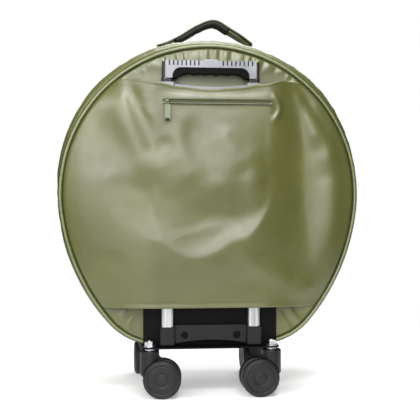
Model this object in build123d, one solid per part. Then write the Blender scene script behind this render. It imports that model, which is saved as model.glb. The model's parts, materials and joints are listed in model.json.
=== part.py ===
from build123d import *

import os
from math import asin, atan2, cos, degrees, radians, sin, sqrt

# Round softside bag on a four-wheel trolley with a telescopic handle.
# The frame: +Z up, floor at Z = 0, the trolley handle faces -Y, and the lid faces +Y.
# Depths are counted as v, from the bag's rear panel face towards the lid; y_of(v) turns a depth into Y.

# ---------------------------------------------------------------- casters
wheel_radius = 37.5
wheel_width = 20.0
twin_gap = 14.0  # between the two wheels of one caster
trail = 25.0  # stem axis to axle, horizontally
axle_radius = 3.0
axle_clearance = 0.05
well_clearance = 1.6  # housing to wheel
barrel_radius = 19.0
barrel_foot = 40.0  # height of the barrel's lower end
fin_thickness = 11.0
stem_radius = 5.0
stem_clearance = 0.06
stem_margin = 35.0  # from each tube out to the caster stem, across the trolley
rear_stem_v = -20.0
wheel_base = 220.0  # rear stems to front stems
rest_angles = {"rear_left": -4.5, "rear_right": 182.5, "front_left": 93.0, "front_right": 93.0}
nut_flats = 17.0
nut_height = 8.4
washer_radius = 12.0
washer_thickness = 2.0
lower_washer_radius = 9.5
stem_top_above_nut = 2.2
caster_gap = 0.4  # housing top to the washer above it

# ---------------------------------------------------------------- trolley plates
caster_head = 21.0  # from the wheels' tops to the underside of the base plate
plate_thickness = 3.0
ear_radius = 15.0
back_plate_margin = 47.5  # beyond each tube's middle
back_plate_thickness = 2.0
back_plate_gap = 0.4  # to the rear piping, which stands proud of the panel
back_plate_corner = 18.0
pan_margin = 36.0  # from the stems' middles to the pressed pan under the base plate
pan_depth = 1.2
pan_corner = 12.0
tab_width = 34.0
tab_spacing = 84.0
slot_clearance = 0.15

# ---------------------------------------------------------------- telescopic handle
tube_spacing = 172.0
tube_size = (24.0, 15.0)
tube_corner = 5.5
tube_wall = 1.2
stage_clearance = 0.4
middle_wall = 1.1
inner_wall = 1.0
socket_wall = 3.0
socket_height = 35.0
bracket_lift = 3.0  # lower bracket above the base plate
bridge_depth = 12.0
bridge_height = 35.0
arch_rise = 7.0
upper_bracket_height = 30.0
upper_dip = 5.0
handle_drop = 37.3  # from the bag's top down to the top of the grip, handle down
grip_height = 34.7
grip_overhang = 10.5  # beyond each tube's middle
grip_depth = 20.0
grip_cap_width = 6.0
grip_brow = 14.0  # grip above the rubber
tube_in_grip = 16.0
grip_post = 9.5  # from a tube's middle to the hand opening
opening_deep = 80.0
rubber_top = 13.0
rubber_side = 7.5
rubber_waves = 5
wave_depth = 2.2
slot_count = 8
slot_width = 2.6
slot_height = 10.0
slot_depth = 1.6
slot_first = 23.0
slot_end = 1.1  # from the last slot's space to the end cap
button_length = 27.0
button_depth = 11.0
button_proud = 3.2
button_travel = 4.0
button_gap = 0.4
bar_slack = 0.5
rod_radius = 2.5
collar_height = 7.2
pin_radius = 2.0
pin_travel = 2.0
pin_clearance = 0.06
lock_height = 34.0
screw_head_radius = 7.0
screw_head_height = 3.2
screw_shank_radius = 2.5
screw_spread = 104.0

# ---------------------------------------------------------------- bag
bag_radius = 300.0
bag_depth = 240.0
flank_extra = 120.0  # how much wider the flank's radius is than the bag's
flank_start = 8.0  # degrees below the horizontal where the flank begins
corner_radius = 130.0
sit_gap = 0.3  # bag to base plate
sag = 1.0  # height of the round part above the flattened foot
wall = 7.0
soft_gap = 0.2
bulge = 6.0  # how far the gusset swells beyond its two rims
bulge_lift = 6.0  # and how much higher it stands at the top
bulge_run = 42.0
panel_thickness = 12.0
piping_width = 7.0
piping_proud = 1.5
lining_thickness = 1.6
lid_dome = 10.0
dome_inset = 60.0
zip_half = 3.0
zip_inset = 1.5
zip_thickness = 4.5
zip_foot_gap = 4.0  # the zip stops this far outside the flat foot
zip_hinge_gap = 1.0  # and this far above the hinge line
hinge_tape_radius = 2.5
slider_park = 10.0  # degrees each side of the top
slider_length = 13.0
slider_wide = 10.0
slider_lift = 1.6  # slider plate above the bag's outline
slider_plate = 2.2
post_gap = 4.8  # between a slider's two posts
post_thickness = 1.6
pull_bar_radius = 1.1
pull_clearance = 0.1
pull_length = 34.0
pull_width = 11.0
pull_thickness = 2.4
loop_radius = 2.6

# ---------------------------------------------------------------- sleeve on the rear panel
sleeve_sheet = 2.5
channel_half = 141.0
channel_clearance = 3.5  # in front of the bracket
sleeve_rise = 75.7  # from the bag's foot up to the sleeve's lower edge
sleeve_drop = 74.3  # from the bag's top down to its upper edge
sleeve_dip = 19.0
pocket_zip_length = 217.0
pocket_zip_centre = 12.5
pocket_zip_below = 120.3  # from the bag's top
pocket_zip_band = 13.0
pocket_zip_margin = 9.0  # from the zip's end to the slider's centre
pocket_pull_length = 37.0
pocket_pull_width = 13.0
pocket_tape = 1.0
pocket_coil = 1.6
pocket_coil_height = 4.4
pocket_mouth = 8.0
pocket_slider_size = (9.5, 2.0, 9.5)
pocket_pivot_out = 2.8  # pull's pin beyond the slider plate
pocket_drop = 210.0
pocket_lining_thickness = 1.2

# ---------------------------------------------------------------- carry handle
carry_half_span = 104.0
carry_rises = [(-70.0, 9.0), (-44.0, 25.0), (-12.0, 55.0), (24.0, 66.0), (56.0, 48.0), (89.0, 32.0)]
carry_fillet = 11.0
carry_post_rises = (8.0, 17.0)  # left and right eye posts
carry_width = 38.0
carry_end_width = 14.0
carry_taper = 36.0
carry_grip_span = (-50.0, 52.0)
carry_grip_thickness = 9.0
carry_strap_thickness = 3.0
carry_lift = 9.0  # pivot line above the gusset
carry_eye_radius = 3.0
carry_eye_length = 10.0
carry_pin_radius = 1.5
carry_pin_clearance = 0.06
anchor_width = 34.0
anchor_thickness = 2.4
anchor_reach = (30.0, 26.0)  # from the pin's middle, inwards and outwards
anchor_ear = 4.0
anchor_ear_top = 3.5
carry_swing_gap = 2.0  # from the ears' tops to the strap's ends

# ---------------------------------------------------------------- worked-out places
plate_underside = 2 * wheel_radius + caster_head
plate_top = plate_underside + plate_thickness
bag_foot = plate_top + sit_gap
centre_z = bag_foot + sag + bag_radius
bag_top = centre_z + bag_radius
handle_top = bag_top - handle_drop
sleeve_foot = bag_foot + sleeve_rise
sleeve_head = bag_top - sleeve_drop
pocket_zip_height = bag_top - pocket_zip_below
far_stem_v = rear_stem_v + wheel_base
plate_v = -piping_proud - back_plate_gap - back_plate_thickness
socket_back = plate_v - 0.1
tube_v = socket_back - socket_wall - tube_size[1] / 2
socket_front = socket_back - 2 * socket_wall - tube_size[1]
tube_x = tube_spacing / 2
stem_spread = tube_spacing + 2 * stem_margin
back_plate_width = tube_spacing + 2 * back_plate_margin
grip_width = tube_spacing + 2 * grip_overhang
grip_half = grip_width / 2 - grip_cap_width
opening_half = tube_x - grip_post
slot_pitch = (grip_half - slot_first - slot_end) / slot_count
sleeve_inner_v = socket_front - channel_clearance
sleeve_outer_v = sleeve_inner_v - sleeve_sheet
lid_front_v = bag_depth + zip_half + panel_thickness + lid_dome
grip_base = handle_top - grip_height
bracket_base = plate_top + bracket_lift
upper_base = grip_base - 0.5 - collar_height - 0.5 - upper_bracket_height
upper_top = upper_base + upper_bracket_height
back_plate_top = upper_base + 16.0
middle_size = tuple(s - 2 * tube_wall - 2 * stage_clearance for s in tube_size)
middle_corner = tube_corner - tube_wall - stage_clearance
inner_size = tuple(s - 2 * middle_wall - 2 * stage_clearance for s in middle_size)
inner_corner = max(middle_corner - middle_wall - stage_clearance, 1.2)
outer_tube_foot = bracket_base + socket_wall
outer_tube_head = upper_top - 3.0
middle_foot = outer_tube_foot + 6.0
middle_head = upper_top + 0.5 + collar_height
inner_foot = middle_foot + 8.0
inner_head = grip_base + tube_in_grip
pin_z = inner_foot + 12.0
rod_foot = inner_foot + 26.0
bar_top = handle_top - 3.4
bar_foot = bar_top - 4.0
hinge_z = bag_foot + hinge_tape_radius + 0.5
crown_radius = bag_radius + bulge + soft_gap
crown_z = centre_z + bulge_lift
carry_v = bag_depth / 2
carry_eye_x = carry_half_span - 6.0
pocket_slider_x = pocket_zip_centre - pocket_zip_length / 2 + pocket_zip_margin
pocket_tape_v = sleeve_outer_v - soft_gap
pocket_coil_v = pocket_tape_v - pocket_tape - 0.05
pocket_slider_v = pocket_coil_v - pocket_coil - 0.3
pocket_pivot_v = pocket_slider_v - pocket_slider_size[1] - pocket_pivot_out


def caster_reach(angle):
    """How far a caster's wheels reach towards -Y from its stem."""
    half = twin_gap / 2 + wheel_width
    a = radians(angle)
    return -trail * sin(a) + half * abs(cos(a)) + wheel_radius * abs(sin(a))


rear_reach = rear_stem_v - max(caster_reach(rest_angles[n]) for n in ("rear_left", "rear_right"))
front_reach = max(
    lid_front_v, far_stem_v + max(caster_reach(-rest_angles[n]) for n in ("front_left", "front_right"))
)
y_shift = -(rear_reach + front_reach) / 2


def y_of(v):
    return v + y_shift


def prism(sketch, v0, v1):
    """A shape drawn in X and Z, standing from depth v0 to depth v1."""
    plane = Plane(origin=(0, y_of(v1), 0), x_dir=(1, 0, 0), z_dir=(0, -1, 0))
    return extrude(plane * sketch, v1 - v0)


def at_depth(sketch, v):
    return Plane(origin=(0, y_of(v), 0), x_dir=(1, 0, 0), z_dir=(0, -1, 0)) * sketch


def block(x0, x1, v0, v1, z0, z1):
    return Pos((x0 + x1) / 2, y_of((v0 + v1) / 2), (z0 + z1) / 2) * Box(x1 - x0, v1 - v0, z1 - z0)


def rod_x(x0, x1, v, z, radius):
    return Pos((x0 + x1) / 2, y_of(v), z) * Rot(0, 90, 0) * Cylinder(radius, x1 - x0)


def rod_y(x, v0, v1, z, radius):
    return Pos(x, y_of((v0 + v1) / 2), z) * Rot(90, 0, 0) * Cylinder(radius, v1 - v0)


def rod_z(x, v, z0, z1, radius):
    return Pos(x, y_of(v), (z0 + z1) / 2) * Cylinder(radius, z1 - z0)


def mirrored(shape):
    return mirror(shape, Plane.YZ)


def save(name, *shapes):
    """Writes a node's solids to one file."""
    solids = [s for shape in shapes for s in shape.solids()]
    export_step(Compound(children=solids) if len(solids) > 1 else solids[0], f"parts/{name}.step")


# ================================================================ bag outline


def outline(offset=0.0):
    """The bag's outline grown by offset: a round top, wider flanks, rounded lower corners, a flat foot."""
    phi = radians(flank_start)
    flank_radius = bag_radius + flank_extra
    flank_x = -flank_extra * cos(phi)
    flank_z = centre_z + flank_extra * sin(phi)
    corner_z = bag_foot + corner_radius
    reach = flank_radius - corner_radius
    beta = asin((flank_z - corner_z) / reach)
    corner_x = flank_x + reach * cos(beta)
    r1, r2, r3 = bag_radius + offset, flank_radius + offset, corner_radius + offset
    foot_z = bag_foot - offset
    right = [
        CenterArc((flank_x, flank_z), r2, -flank_start, flank_start - degrees(beta)),
        CenterArc((corner_x, corner_z), r3, -degrees(beta), degrees(beta) - 90),
    ]
    left = [
        CenterArc((-flank_x, flank_z), r2, 180 + flank_start, degrees(beta) - flank_start),
        CenterArc((-corner_x, corner_z), r3, 180 + degrees(beta), 90 - degrees(beta)),
    ]
    top = CenterArc((0, centre_z), r1, -flank_start, 180 + 2 * flank_start)
    foot = Line((-corner_x, foot_z), (corner_x, foot_z))
    return make_face([top, *left, foot, *right])


def flat_half():
    """Half the width of the bag's flat foot."""
    phi = radians(flank_start)
    reach = bag_radius + flank_extra - corner_radius
    drop = centre_z + flank_extra * sin(phi) - bag_foot - corner_radius
    return -flank_extra * cos(phi) + sqrt(reach**2 - drop**2)


def ring(outer, inner, v0, v1):
    return prism(outline(outer) - outline(inner), v0, v1)


def above(shape, z):
    """Keeps what stands above height z."""
    big = 4 * bag_radius
    return shape & Pos(0, 0, z + big / 2) * Box(big, big, big)


def drum(offset, v0, v1):
    """The gusset's swelling volume between two depths, grown by offset."""
    rim = outline(offset)
    crown = Pos(0, bulge_lift) * outline(offset + bulge)
    stations = [(v0, rim), (v0 + bulge_run, crown), (v1 - bulge_run, crown), (v1, rim)]
    spans = [
        loft([at_depth(a[1], a[0]), at_depth(b[1], b[0])], ruled=True) for a, b in zip(stations, stations[1:])
    ]
    return spans[0] + spans[1] + spans[2]


# ================================================================ bag shell


def make_bag_shell():
    gusset_v0 = piping_width - piping_proud + soft_gap
    gusset_v1 = bag_depth - zip_half
    outer = above(drum(0, gusset_v0, gusset_v1), bag_foot)
    inner = above(drum(-wall, gusset_v0, gusset_v1), bag_foot + wall)
    rear_mouth = prism(outline(-wall), gusset_v0 - 1, gusset_v0 + 0.01)
    front_mouth = prism(outline(-wall), gusset_v1 - 0.01, gusset_v1 + 1)
    save("gusset", outer - inner - rear_mouth - front_mouth)
    save("back_panel", prism(outline(-wall - soft_gap), 0, panel_thickness))
    save("rear_piping", ring(0, -wall, -piping_proud, piping_width - piping_proud))

    lining_v0 = panel_thickness + soft_gap
    skin = wall + soft_gap
    outer_lining = above(drum(-skin, gusset_v0, gusset_v1), bag_foot + skin)
    deep = skin + lining_thickness
    inner_lining = above(drum(-deep, gusset_v0, gusset_v1), bag_foot + deep)
    behind = block(-2 * bag_radius, 2 * bag_radius, -bag_depth, lining_v0, 0, 4 * bag_radius)
    floor_skin = prism(outline(-deep), lining_v0, lining_v0 + lining_thickness)
    front_end = prism(outline(-deep), gusset_v1 - 0.01, gusset_v1 + 1)
    save("bag_lining", outer_lining - inner_lining - front_end - behind + floor_skin)


def make_lid():
    v0 = bag_depth + zip_half
    inset = wall + soft_gap
    dome = loft(
        [
            at_depth(outline(-inset), v0 + panel_thickness),
            at_depth(outline(-dome_inset), v0 + panel_thickness + lid_dome),
        ],
        ruled=True,
    )
    save("lid_panel", prism(outline(-inset), v0, v0 + panel_thickness) + dome)
    save("front_piping", ring(0, -wall, v0, v0 + piping_width))
    lining_edge = outline(-inset - 8)
    save("lid_lining", prism(lining_edge, v0 - soft_gap - lining_thickness, v0 - soft_gap))


def zip_arc(v0, v1, inner, outer):
    """A strip round the bag's rim, left open along the flat foot where the hinge tape is."""
    strip = ring(outer, inner, v0, v1)
    half = flat_half() + zip_foot_gap
    strip -= block(-half, half, v0 - 1, v1 + 1, bag_foot - 20, bag_foot + 40)
    return above(strip, hinge_z + zip_hinge_gap)


def make_main_zip():
    outer, inner = -zip_inset, -zip_inset - zip_thickness
    middle = bag_depth
    save("main_zip_gusset_side", zip_arc(middle - zip_half + soft_gap, middle - soft_gap, inner, outer))
    save("main_zip_lid_side", zip_arc(middle + soft_gap, middle + zip_half - soft_gap, inner, outer))
    half = flat_half() - 2
    save("hinge_tape", rod_x(-half, half, middle, hinge_z, hinge_tape_radius))


def on_rim(shape, angle):
    """Turns a piece made at the rim's top round the bag's centre, to an angle counted up from +X."""
    return Pos(0, 0, centre_z) * Rot(0, 90 - angle, 0) * shape


def make_main_sliders():
    r0 = bag_radius + slider_lift
    y = y_of(bag_depth)
    keel_depth = slider_lift + zip_inset - 0.3
    keel_width = 2 * zip_half - 2.4
    loop_z = r0 + slider_plate + loop_radius
    post_height = 2 * loop_radius - 1.2
    post_y = post_gap / 2 + post_thickness / 2
    neck_width = post_gap - 0.6
    for side, sign in (("left", 1), ("right", -1)):
        angle = 90 + sign * slider_park
        slider = Pos(0, y, r0 + slider_plate / 2) * Box(slider_length, slider_wide, slider_plate)
        slider += Pos(0, y, r0 - keel_depth / 2) * Box(slider_length - 4, keel_width, keel_depth)
        for s in (-1, 1):
            slider += Pos(0, y + s * post_y, loop_z - 0.6) * Box(2.4, post_thickness, post_height)
        slider += Pos(0, y, loop_z) * Rot(90, 0, 0) * Cylinder(pull_bar_radius, post_gap + 2 * post_thickness)
        save(f"main_slider_{side}", on_rim(slider, angle))
        middle = -sign * (pull_length + 8) / 2
        pull = Pos(middle, y, loop_z) * Box(pull_length - 8, pull_width, pull_thickness)
        pull += Pos(-sign * 4, y, loop_z) * Box(8, neck_width, pull_thickness)
        pull += Pos(0, y, loop_z) * Rot(90, 0, 0) * Cylinder(loop_radius - 0.2, neck_width)
        pull -= Pos(0, y, loop_z) * Rot(90, 0, 0) * Cylinder(pull_bar_radius + pull_clearance, 30)
        save(f"main_pull_{side}", on_rim(pull, angle))


# ================================================================ sleeve and its pocket zip


def make_sleeve():
    e = bag_radius
    c = channel_half
    slope = atan2(-sleeve_outer_v, e - c)
    dx = sleeve_sheet / sin(slope)
    rear = -soft_gap

    def plan(points):
        """A shape drawn in X and depth, standing over the sleeve's height."""
        face = make_face(Polyline(*[(x, y_of(v)) for x, v in points], close=True))
        return Pos(0, 0, sleeve_foot) * extrude(face, sleeve_head - sleeve_foot)

    body = plan([(-e, rear), (-c, sleeve_outer_v), (c, sleeve_outer_v), (e, rear)])
    hollow = plan([(-e + dx, rear + 1), (-c, sleeve_inner_v), (c, sleeve_inner_v), (e - dx, rear + 1)])
    inset = wall + soft_gap
    sheet = (body - hollow) & prism(outline(-inset), sleeve_outer_v - 1, rear)
    rim = body & ring(-inset, -inset - sleeve_sheet, sleeve_outer_v - 1, rear)
    dip_radius = (channel_half**2 + sleeve_dip**2) / (2 * sleeve_dip)
    dip = rod_y(0, sleeve_outer_v - 5, 5, sleeve_head - sleeve_dip + dip_radius, dip_radius)
    half_mouth = pocket_zip_length / 2 - 6
    low, high = pocket_zip_height - pocket_mouth / 2, pocket_zip_height + pocket_mouth / 2
    left, right = pocket_zip_centre - half_mouth, pocket_zip_centre + half_mouth
    mouth = block(left, right, sleeve_outer_v - 1, sleeve_inner_v + 1, low, high)
    save("sleeve", (sheet + rim) - dip - mouth)


def make_pocket_zip():
    half = pocket_zip_length / 2
    x0, x1 = pocket_zip_centre - half, pocket_zip_centre + half
    z = pocket_zip_height
    band = pocket_zip_band / 2
    coil = pocket_coil_height / 2
    tape_v, coil_v = pocket_tape_v, pocket_coil_v
    save("pocket_zip_tape", block(x0, x1, tape_v - pocket_tape, tape_v, z - band, z + band))
    save("pocket_zip_coil", block(x0 + 5, x1 - 5, coil_v - pocket_coil, coil_v, z - coil, z + coil))
    front = sleeve_inner_v + soft_gap
    back = front + pocket_lining_thickness
    lining_top = z + pocket_zip_band
    save("pocket_lining", block(x0 - 8, x1 + 8, front, back, lining_top - pocket_drop, lining_top))

    x = pocket_slider_x
    w, t, h = pocket_slider_size
    face = pocket_slider_v
    slider = block(x - w / 2, x + w / 2, face - t, face, z - h / 2, z + h / 2)
    for s in (-1, 1):
        cheek = z + s * (h / 2 - 0.9)
        slider += block(x - w / 2, x + w / 2, face, face + 1.2, cheek - 0.9, cheek + 0.9)
        ear = x + s * 3.2
        slider += block(ear - 0.8, ear + 0.8, pocket_pivot_v - 1, face - t + 0.1, z - 3, z + 3)
    slider += rod_x(x - 4, x + 4, pocket_pivot_v, z, 1.0)
    save("pocket_slider", slider)

    v = pocket_pivot_v
    half = pocket_pull_width / 2
    pull = rod_x(x - 2.1, x + 2.1, v, z, 2.2)
    pull += block(x - 2.1, x + 2.1, v - 1, v + 1, z - 8, z)
    tab = block(x - half, x + half, v - 1.2, v + 1.2, z - pocket_pull_length, z - 5.5)
    pull += fillet(tab.edges().filter_by(Axis.Y), 1.5)
    save("pocket_pull", pull - rod_x(x - 6, x + 6, v, z, 1.0 + pull_clearance))


# ================================================================ carry handle


def carry_pivot_z():
    return crown_z + sqrt(crown_radius**2 - carry_eye_x**2) + carry_lift


def carry_band(drop, thickness):
    """A bent band in X and Z that follows the handle's line, drop below it."""
    z0 = carry_pivot_z()
    line = [(-carry_half_span, 5.0), *carry_rises, (carry_half_span, 5.0)]
    low = [(x, z0 + rise - drop) for x, rise in line]
    high = [(x, z + thickness) for x, z in low]
    sides = [Line(low[0], high[0]), Line(low[-1], high[-1])]
    top = FilletPolyline(*high, radius=carry_fillet)
    bottom = FilletPolyline(*low, radius=carry_fillet)
    return make_face([bottom, top, *sides])


def make_carry_handle():
    z0 = carry_pivot_z()
    v = carry_v
    broad, narrow = carry_width / 2, carry_end_width / 2
    inner = carry_half_span - carry_taper
    ends = carry_half_span + 1
    rear_line = [(-ends, -narrow), (-inner, -broad), (inner, -broad), (ends, -narrow)]
    front_line = [(x, -w) for x, w in reversed(rear_line)]
    plan = make_face(Polyline(*[(x, y_of(v + w)) for x, w in rear_line + front_line], close=True))
    column = Pos(0, 0, z0 - 40) * extrude(plan, 140)
    v0, v1 = v - carry_width, v + carry_width
    strap = prism(carry_band(0, carry_strap_thickness), v0, v1) & column
    grip = prism(carry_band(carry_grip_thickness + soft_gap, carry_grip_thickness), v0, v1) & column
    grip = grip & block(carry_grip_span[0], carry_grip_span[1], v0, v1, z0 - 40, z0 + 120)
    half_eye = carry_eye_length / 2
    for s, rise in zip((-1, 1), carry_post_rises):
        x = s * carry_eye_x
        strap -= block(x - 14, x + 14, v0, v1, z0 - 40, z0 + anchor_ear_top + carry_swing_gap)
        strap += block(x - half_eye, x + half_eye, v - 3, v + 3, z0, z0 + rise)
        strap += rod_x(x - half_eye, x + half_eye, v, z0, carry_eye_radius)
        strap -= rod_x(x - 20, x + 20, v, z0, carry_pin_radius + carry_pin_clearance)
    save("carry_handle_strap", strap)
    save("carry_handle_grip", grip)
    save("handle_anchors", *[make_anchor(s) for s in (-1, 1)])


def make_anchor(side):
    """A patch sewn to the gusset, with two ears and the pin that the handle's eye turns on."""
    x = side * carry_eye_x
    z0 = carry_pivot_z()
    v0, v1 = carry_v - anchor_width / 2, carry_v + anchor_width / 2
    crown = rod_y(0, v0, v1, crown_z, crown_radius + anchor_thickness)
    crown -= rod_y(0, v0 - 1, v1 + 1, crown_z, crown_radius)
    x0, x1 = sorted((x - side * anchor_reach[0], x + side * anchor_reach[1]))
    patch = crown & block(x0, x1, v0, v1, centre_z, centre_z + 2 * bag_radius)
    under = rod_y(0, v0 - 20, v1 + 20, crown_z, crown_radius + anchor_thickness / 2)
    ear_x = carry_eye_length / 2 + 0.4 + anchor_ear / 2
    for e in (-1, 1):
        ear = x + e * ear_x
        half = anchor_ear / 2
        foot = z0 - carry_lift - 12
        patch += block(ear - half, ear + half, carry_v - 5, carry_v + 5, foot, z0 + anchor_ear_top) - under
    pin = ear_x + anchor_ear / 2
    return patch + rod_x(x - pin, x + pin, carry_v, z0, carry_pin_radius)


# ================================================================ trolley


def stem_places():
    x = stem_spread / 2
    return {
        "rear_left": (-x, rear_stem_v),
        "rear_right": (x, rear_stem_v),
        "front_left": (-x, far_stem_v),
        "front_right": (x, far_stem_v),
    }


def back_plate_tabs(grow=0.0):
    thick = back_plate_thickness / 2 + grow
    mid = plate_v + back_plate_thickness / 2
    half = tab_width / 2 + grow
    tabs = [
        block(x - half, x + half, mid - thick, mid + thick, plate_underside - grow, plate_top + grow)
        for x in (-tab_spacing, 0, tab_spacing)
    ]
    return tabs[0] + tabs[1] + tabs[2]


def make_plates():
    places = list(stem_places().values())
    x = stem_spread / 2
    core = block(-x, x, rear_stem_v - ear_radius, far_stem_v + ear_radius, plate_underside, plate_top)
    core += block(-x - ear_radius, x + ear_radius, rear_stem_v, far_stem_v, plate_underside, plate_top)
    for px, v in places:
        core += rod_z(px, v, plate_underside, plate_top, ear_radius)
    for px, v in places:
        core -= rod_z(px, v, plate_underside - 1, plate_top + 1, stem_radius + 0.25)
    pan = block(
        -x + pan_margin, x - pan_margin, rear_stem_v + pan_margin, far_stem_v - pan_margin,
        plate_underside - pan_depth, plate_underside,
    )
    core += fillet(pan.edges().filter_by(Axis.Z), pan_corner)
    save("base_plate", core - back_plate_tabs(slot_clearance))

    panel = make_face(
        Polyline(
            (-back_plate_width / 2, plate_top + 0.1),
            (back_plate_width / 2, plate_top + 0.1),
            (back_plate_width / 2, back_plate_top),
            (-back_plate_width / 2, back_plate_top),
            close=True,
        )
    )
    upper = panel.vertices().sort_by(Axis.Y)[-2:]
    panel = fillet(upper, back_plate_corner)
    plate = prism(panel, plate_v, plate_v + back_plate_thickness) + back_plate_tabs()
    for px, z in screw_places():
        plate -= rod_y(px, plate_v - 1, plate_v + 3, z, screw_shank_radius + 0.1)
    save("back_plate", plate)


def screw_places():
    half = screw_spread / 2
    low = bracket_base + socket_height / 2 + 1
    high = upper_base + 8
    return [(-half, low), (half, low), (-half, high), (half, high)]


def tube(size, corner, thickness, z0, z1):
    """One hollow tube of the handle, on the left or right by sign."""
    outer = RectangleRounded(size[0], size[1], corner)
    inner = RectangleRounded(size[0] - 2 * thickness, size[1] - 2 * thickness, max(corner - thickness, 0.5))
    return [Pos(s * tube_x, y_of(tube_v), z0) * extrude(outer - inner, z1 - z0) for s in (-1, 1)]


def shaft(size, corner, z0, z1, side):
    """A solid the size of a tube, for cutting its seat."""
    return Pos(side * tube_x, y_of(tube_v), z0) * extrude(RectangleRounded(size[0], size[1], corner), z1 - z0)


def grown(size, gap):
    return (size[0] + 2 * gap, size[1] + 2 * gap)


def make_brackets():
    half_socket = tube_size[0] / 2 + socket_wall
    low = None
    for s in (-1, 1):
        x0, x1 = s * tube_x - half_socket, s * tube_x + half_socket
        socket = block(x0, x1, socket_front, socket_back, bracket_base, bracket_base + socket_height)
        socket = fillet(socket.edges().filter_by(Axis.Z).group_by(Axis.Y)[0], 4.0)
        socket -= shaft(grown(tube_size, 0.1), tube_corner + 0.1, outer_tube_foot - 0.1, bracket_base + 90, s)
        low = socket if low is None else low + socket
    bridge_x = tube_x - half_socket + 0.5
    bridge_top = bracket_base + bridge_height + 3
    bridge = block(-bridge_x, bridge_x, socket_back - bridge_depth, socket_back, bracket_base + 2, bridge_top)
    arch_radius = (bridge_x**2 + arch_rise**2) / (2 * arch_rise)
    arch_z = bracket_base + 2 + arch_rise - arch_radius
    low += bridge - rod_y(0, socket_back - 40, socket_back + 5, arch_z, arch_radius)

    high = None
    upper_front = socket_front + 1.5
    for s in (-1, 1):
        x0, x1 = s * tube_x - half_socket, s * tube_x + half_socket
        end = block(x0, x1, socket_front, socket_back, upper_base, upper_top)
        end = fillet(end.edges().filter_by(Axis.Z).group_by(Axis.Y)[0], 4.0)
        end -= shaft(grown(tube_size, 0.1), tube_corner + 0.1, upper_base - 1, outer_tube_head + 0.1, s)
        end -= shaft(grown(middle_size, 0.3), middle_corner + 0.3, upper_base - 1, upper_top + 1, s)
        high = end if high is None else high + end
    bar = block(-bridge_x, bridge_x, upper_front, socket_back, upper_base, upper_top - 4)
    dip_radius = (bridge_x**2 + upper_dip**2) / (2 * upper_dip)
    bar -= rod_y(0, upper_front - 5, socket_back + 5, upper_top - 4 - upper_dip + dip_radius, dip_radius)
    high += bar

    screws = []
    for px, z in screw_places():
        top = z > upper_base
        face = upper_front if top else socket_back - bridge_depth
        hole = rod_y(px, face - 1, socket_back + 1, z, screw_shank_radius + 0.1)
        sink = rod_y(px, face - 1, face + 1.5, z, screw_head_radius + 0.3)
        if top:
            high -= hole
        else:
            low -= hole + sink
        head_v = face if top else face + 1.5
        screw = rod_y(px, head_v - screw_head_height, head_v - 0.05, z, screw_head_radius)
        screw = fillet(screw.edges().group_by(Axis.Y)[0], 2.0)
        recess = Pos(px, y_of(head_v - screw_head_height), z) * Box(6, 3, 1.4)
        recess += Pos(px, y_of(head_v - screw_head_height), z) * Box(1.4, 3, 6)
        shank = rod_y(px, head_v - 0.1, plate_v + back_plate_thickness, z, screw_shank_radius)
        screws.append(screw - recess + shank)
    save("lower_bracket", low)
    save("upper_bracket", high)
    save("bracket_screws", *screws)


def make_stages():
    save("outer_tubes", *tube(tube_size, tube_corner, tube_wall, outer_tube_foot, outer_tube_head))
    save("middle_tubes", *tube(middle_size, middle_corner, middle_wall, middle_foot, middle_head - 2))
    inner_tubes = []
    for s, stage in zip((-1, 1), tube(inner_size, inner_corner, inner_wall, inner_foot, inner_head)):
        x0, x1 = sorted((s * tube_x, s * (tube_x + 14)))
        inner_tubes.append(stage - rod_x(x0, x1, tube_v, pin_z, pin_radius + 0.2))
    save("inner_tubes", *inner_tubes)
    collars = []
    for s in (-1, 1):
        ring_solid = shaft(tube_size, tube_corner, upper_top + 0.5, middle_head, s)
        ring_solid -= shaft(grown(middle_size, 0.02), middle_corner, upper_top, middle_head - 2, s)
        ring_solid -= shaft(grown(inner_size, 0.3), inner_corner + 0.3, upper_top, middle_head + 1, s)
        collars.append(ring_solid)
    save("middle_collars", *collars)


def make_locks():
    core = grown(inner_size, -inner_wall)
    core_corner = max(inner_corner - inner_wall, 0.5)
    housings = []
    for s in (-1, 1):
        body = shaft(grown(core, -0.05), core_corner, inner_foot + 0.5, inner_foot + lock_height, s)
        well_foot = rod_foot - button_travel - 1
        body -= rod_z(s * tube_x, tube_v, well_foot, inner_foot + lock_height + 1, rod_radius + 0.1)
        tip = s * (tube_x + inner_size[0] / 2 + stage_clearance - 0.2)
        root = tip - s * 6.0
        x0, x1 = sorted((root - s * (pin_travel + 0.5), tip + s * 2))
        body -= rod_x(x0, x1, tube_v, pin_z, pin_radius + pin_clearance)
        housings.append(body)
        x0, x1 = sorted((root, tip))
        pin = rod_x(x0, x1, tube_v, pin_z, pin_radius)
        save("lock_pin_left" if s < 0 else "lock_pin_right", pin)
    save("lock_housings", *housings)


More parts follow.
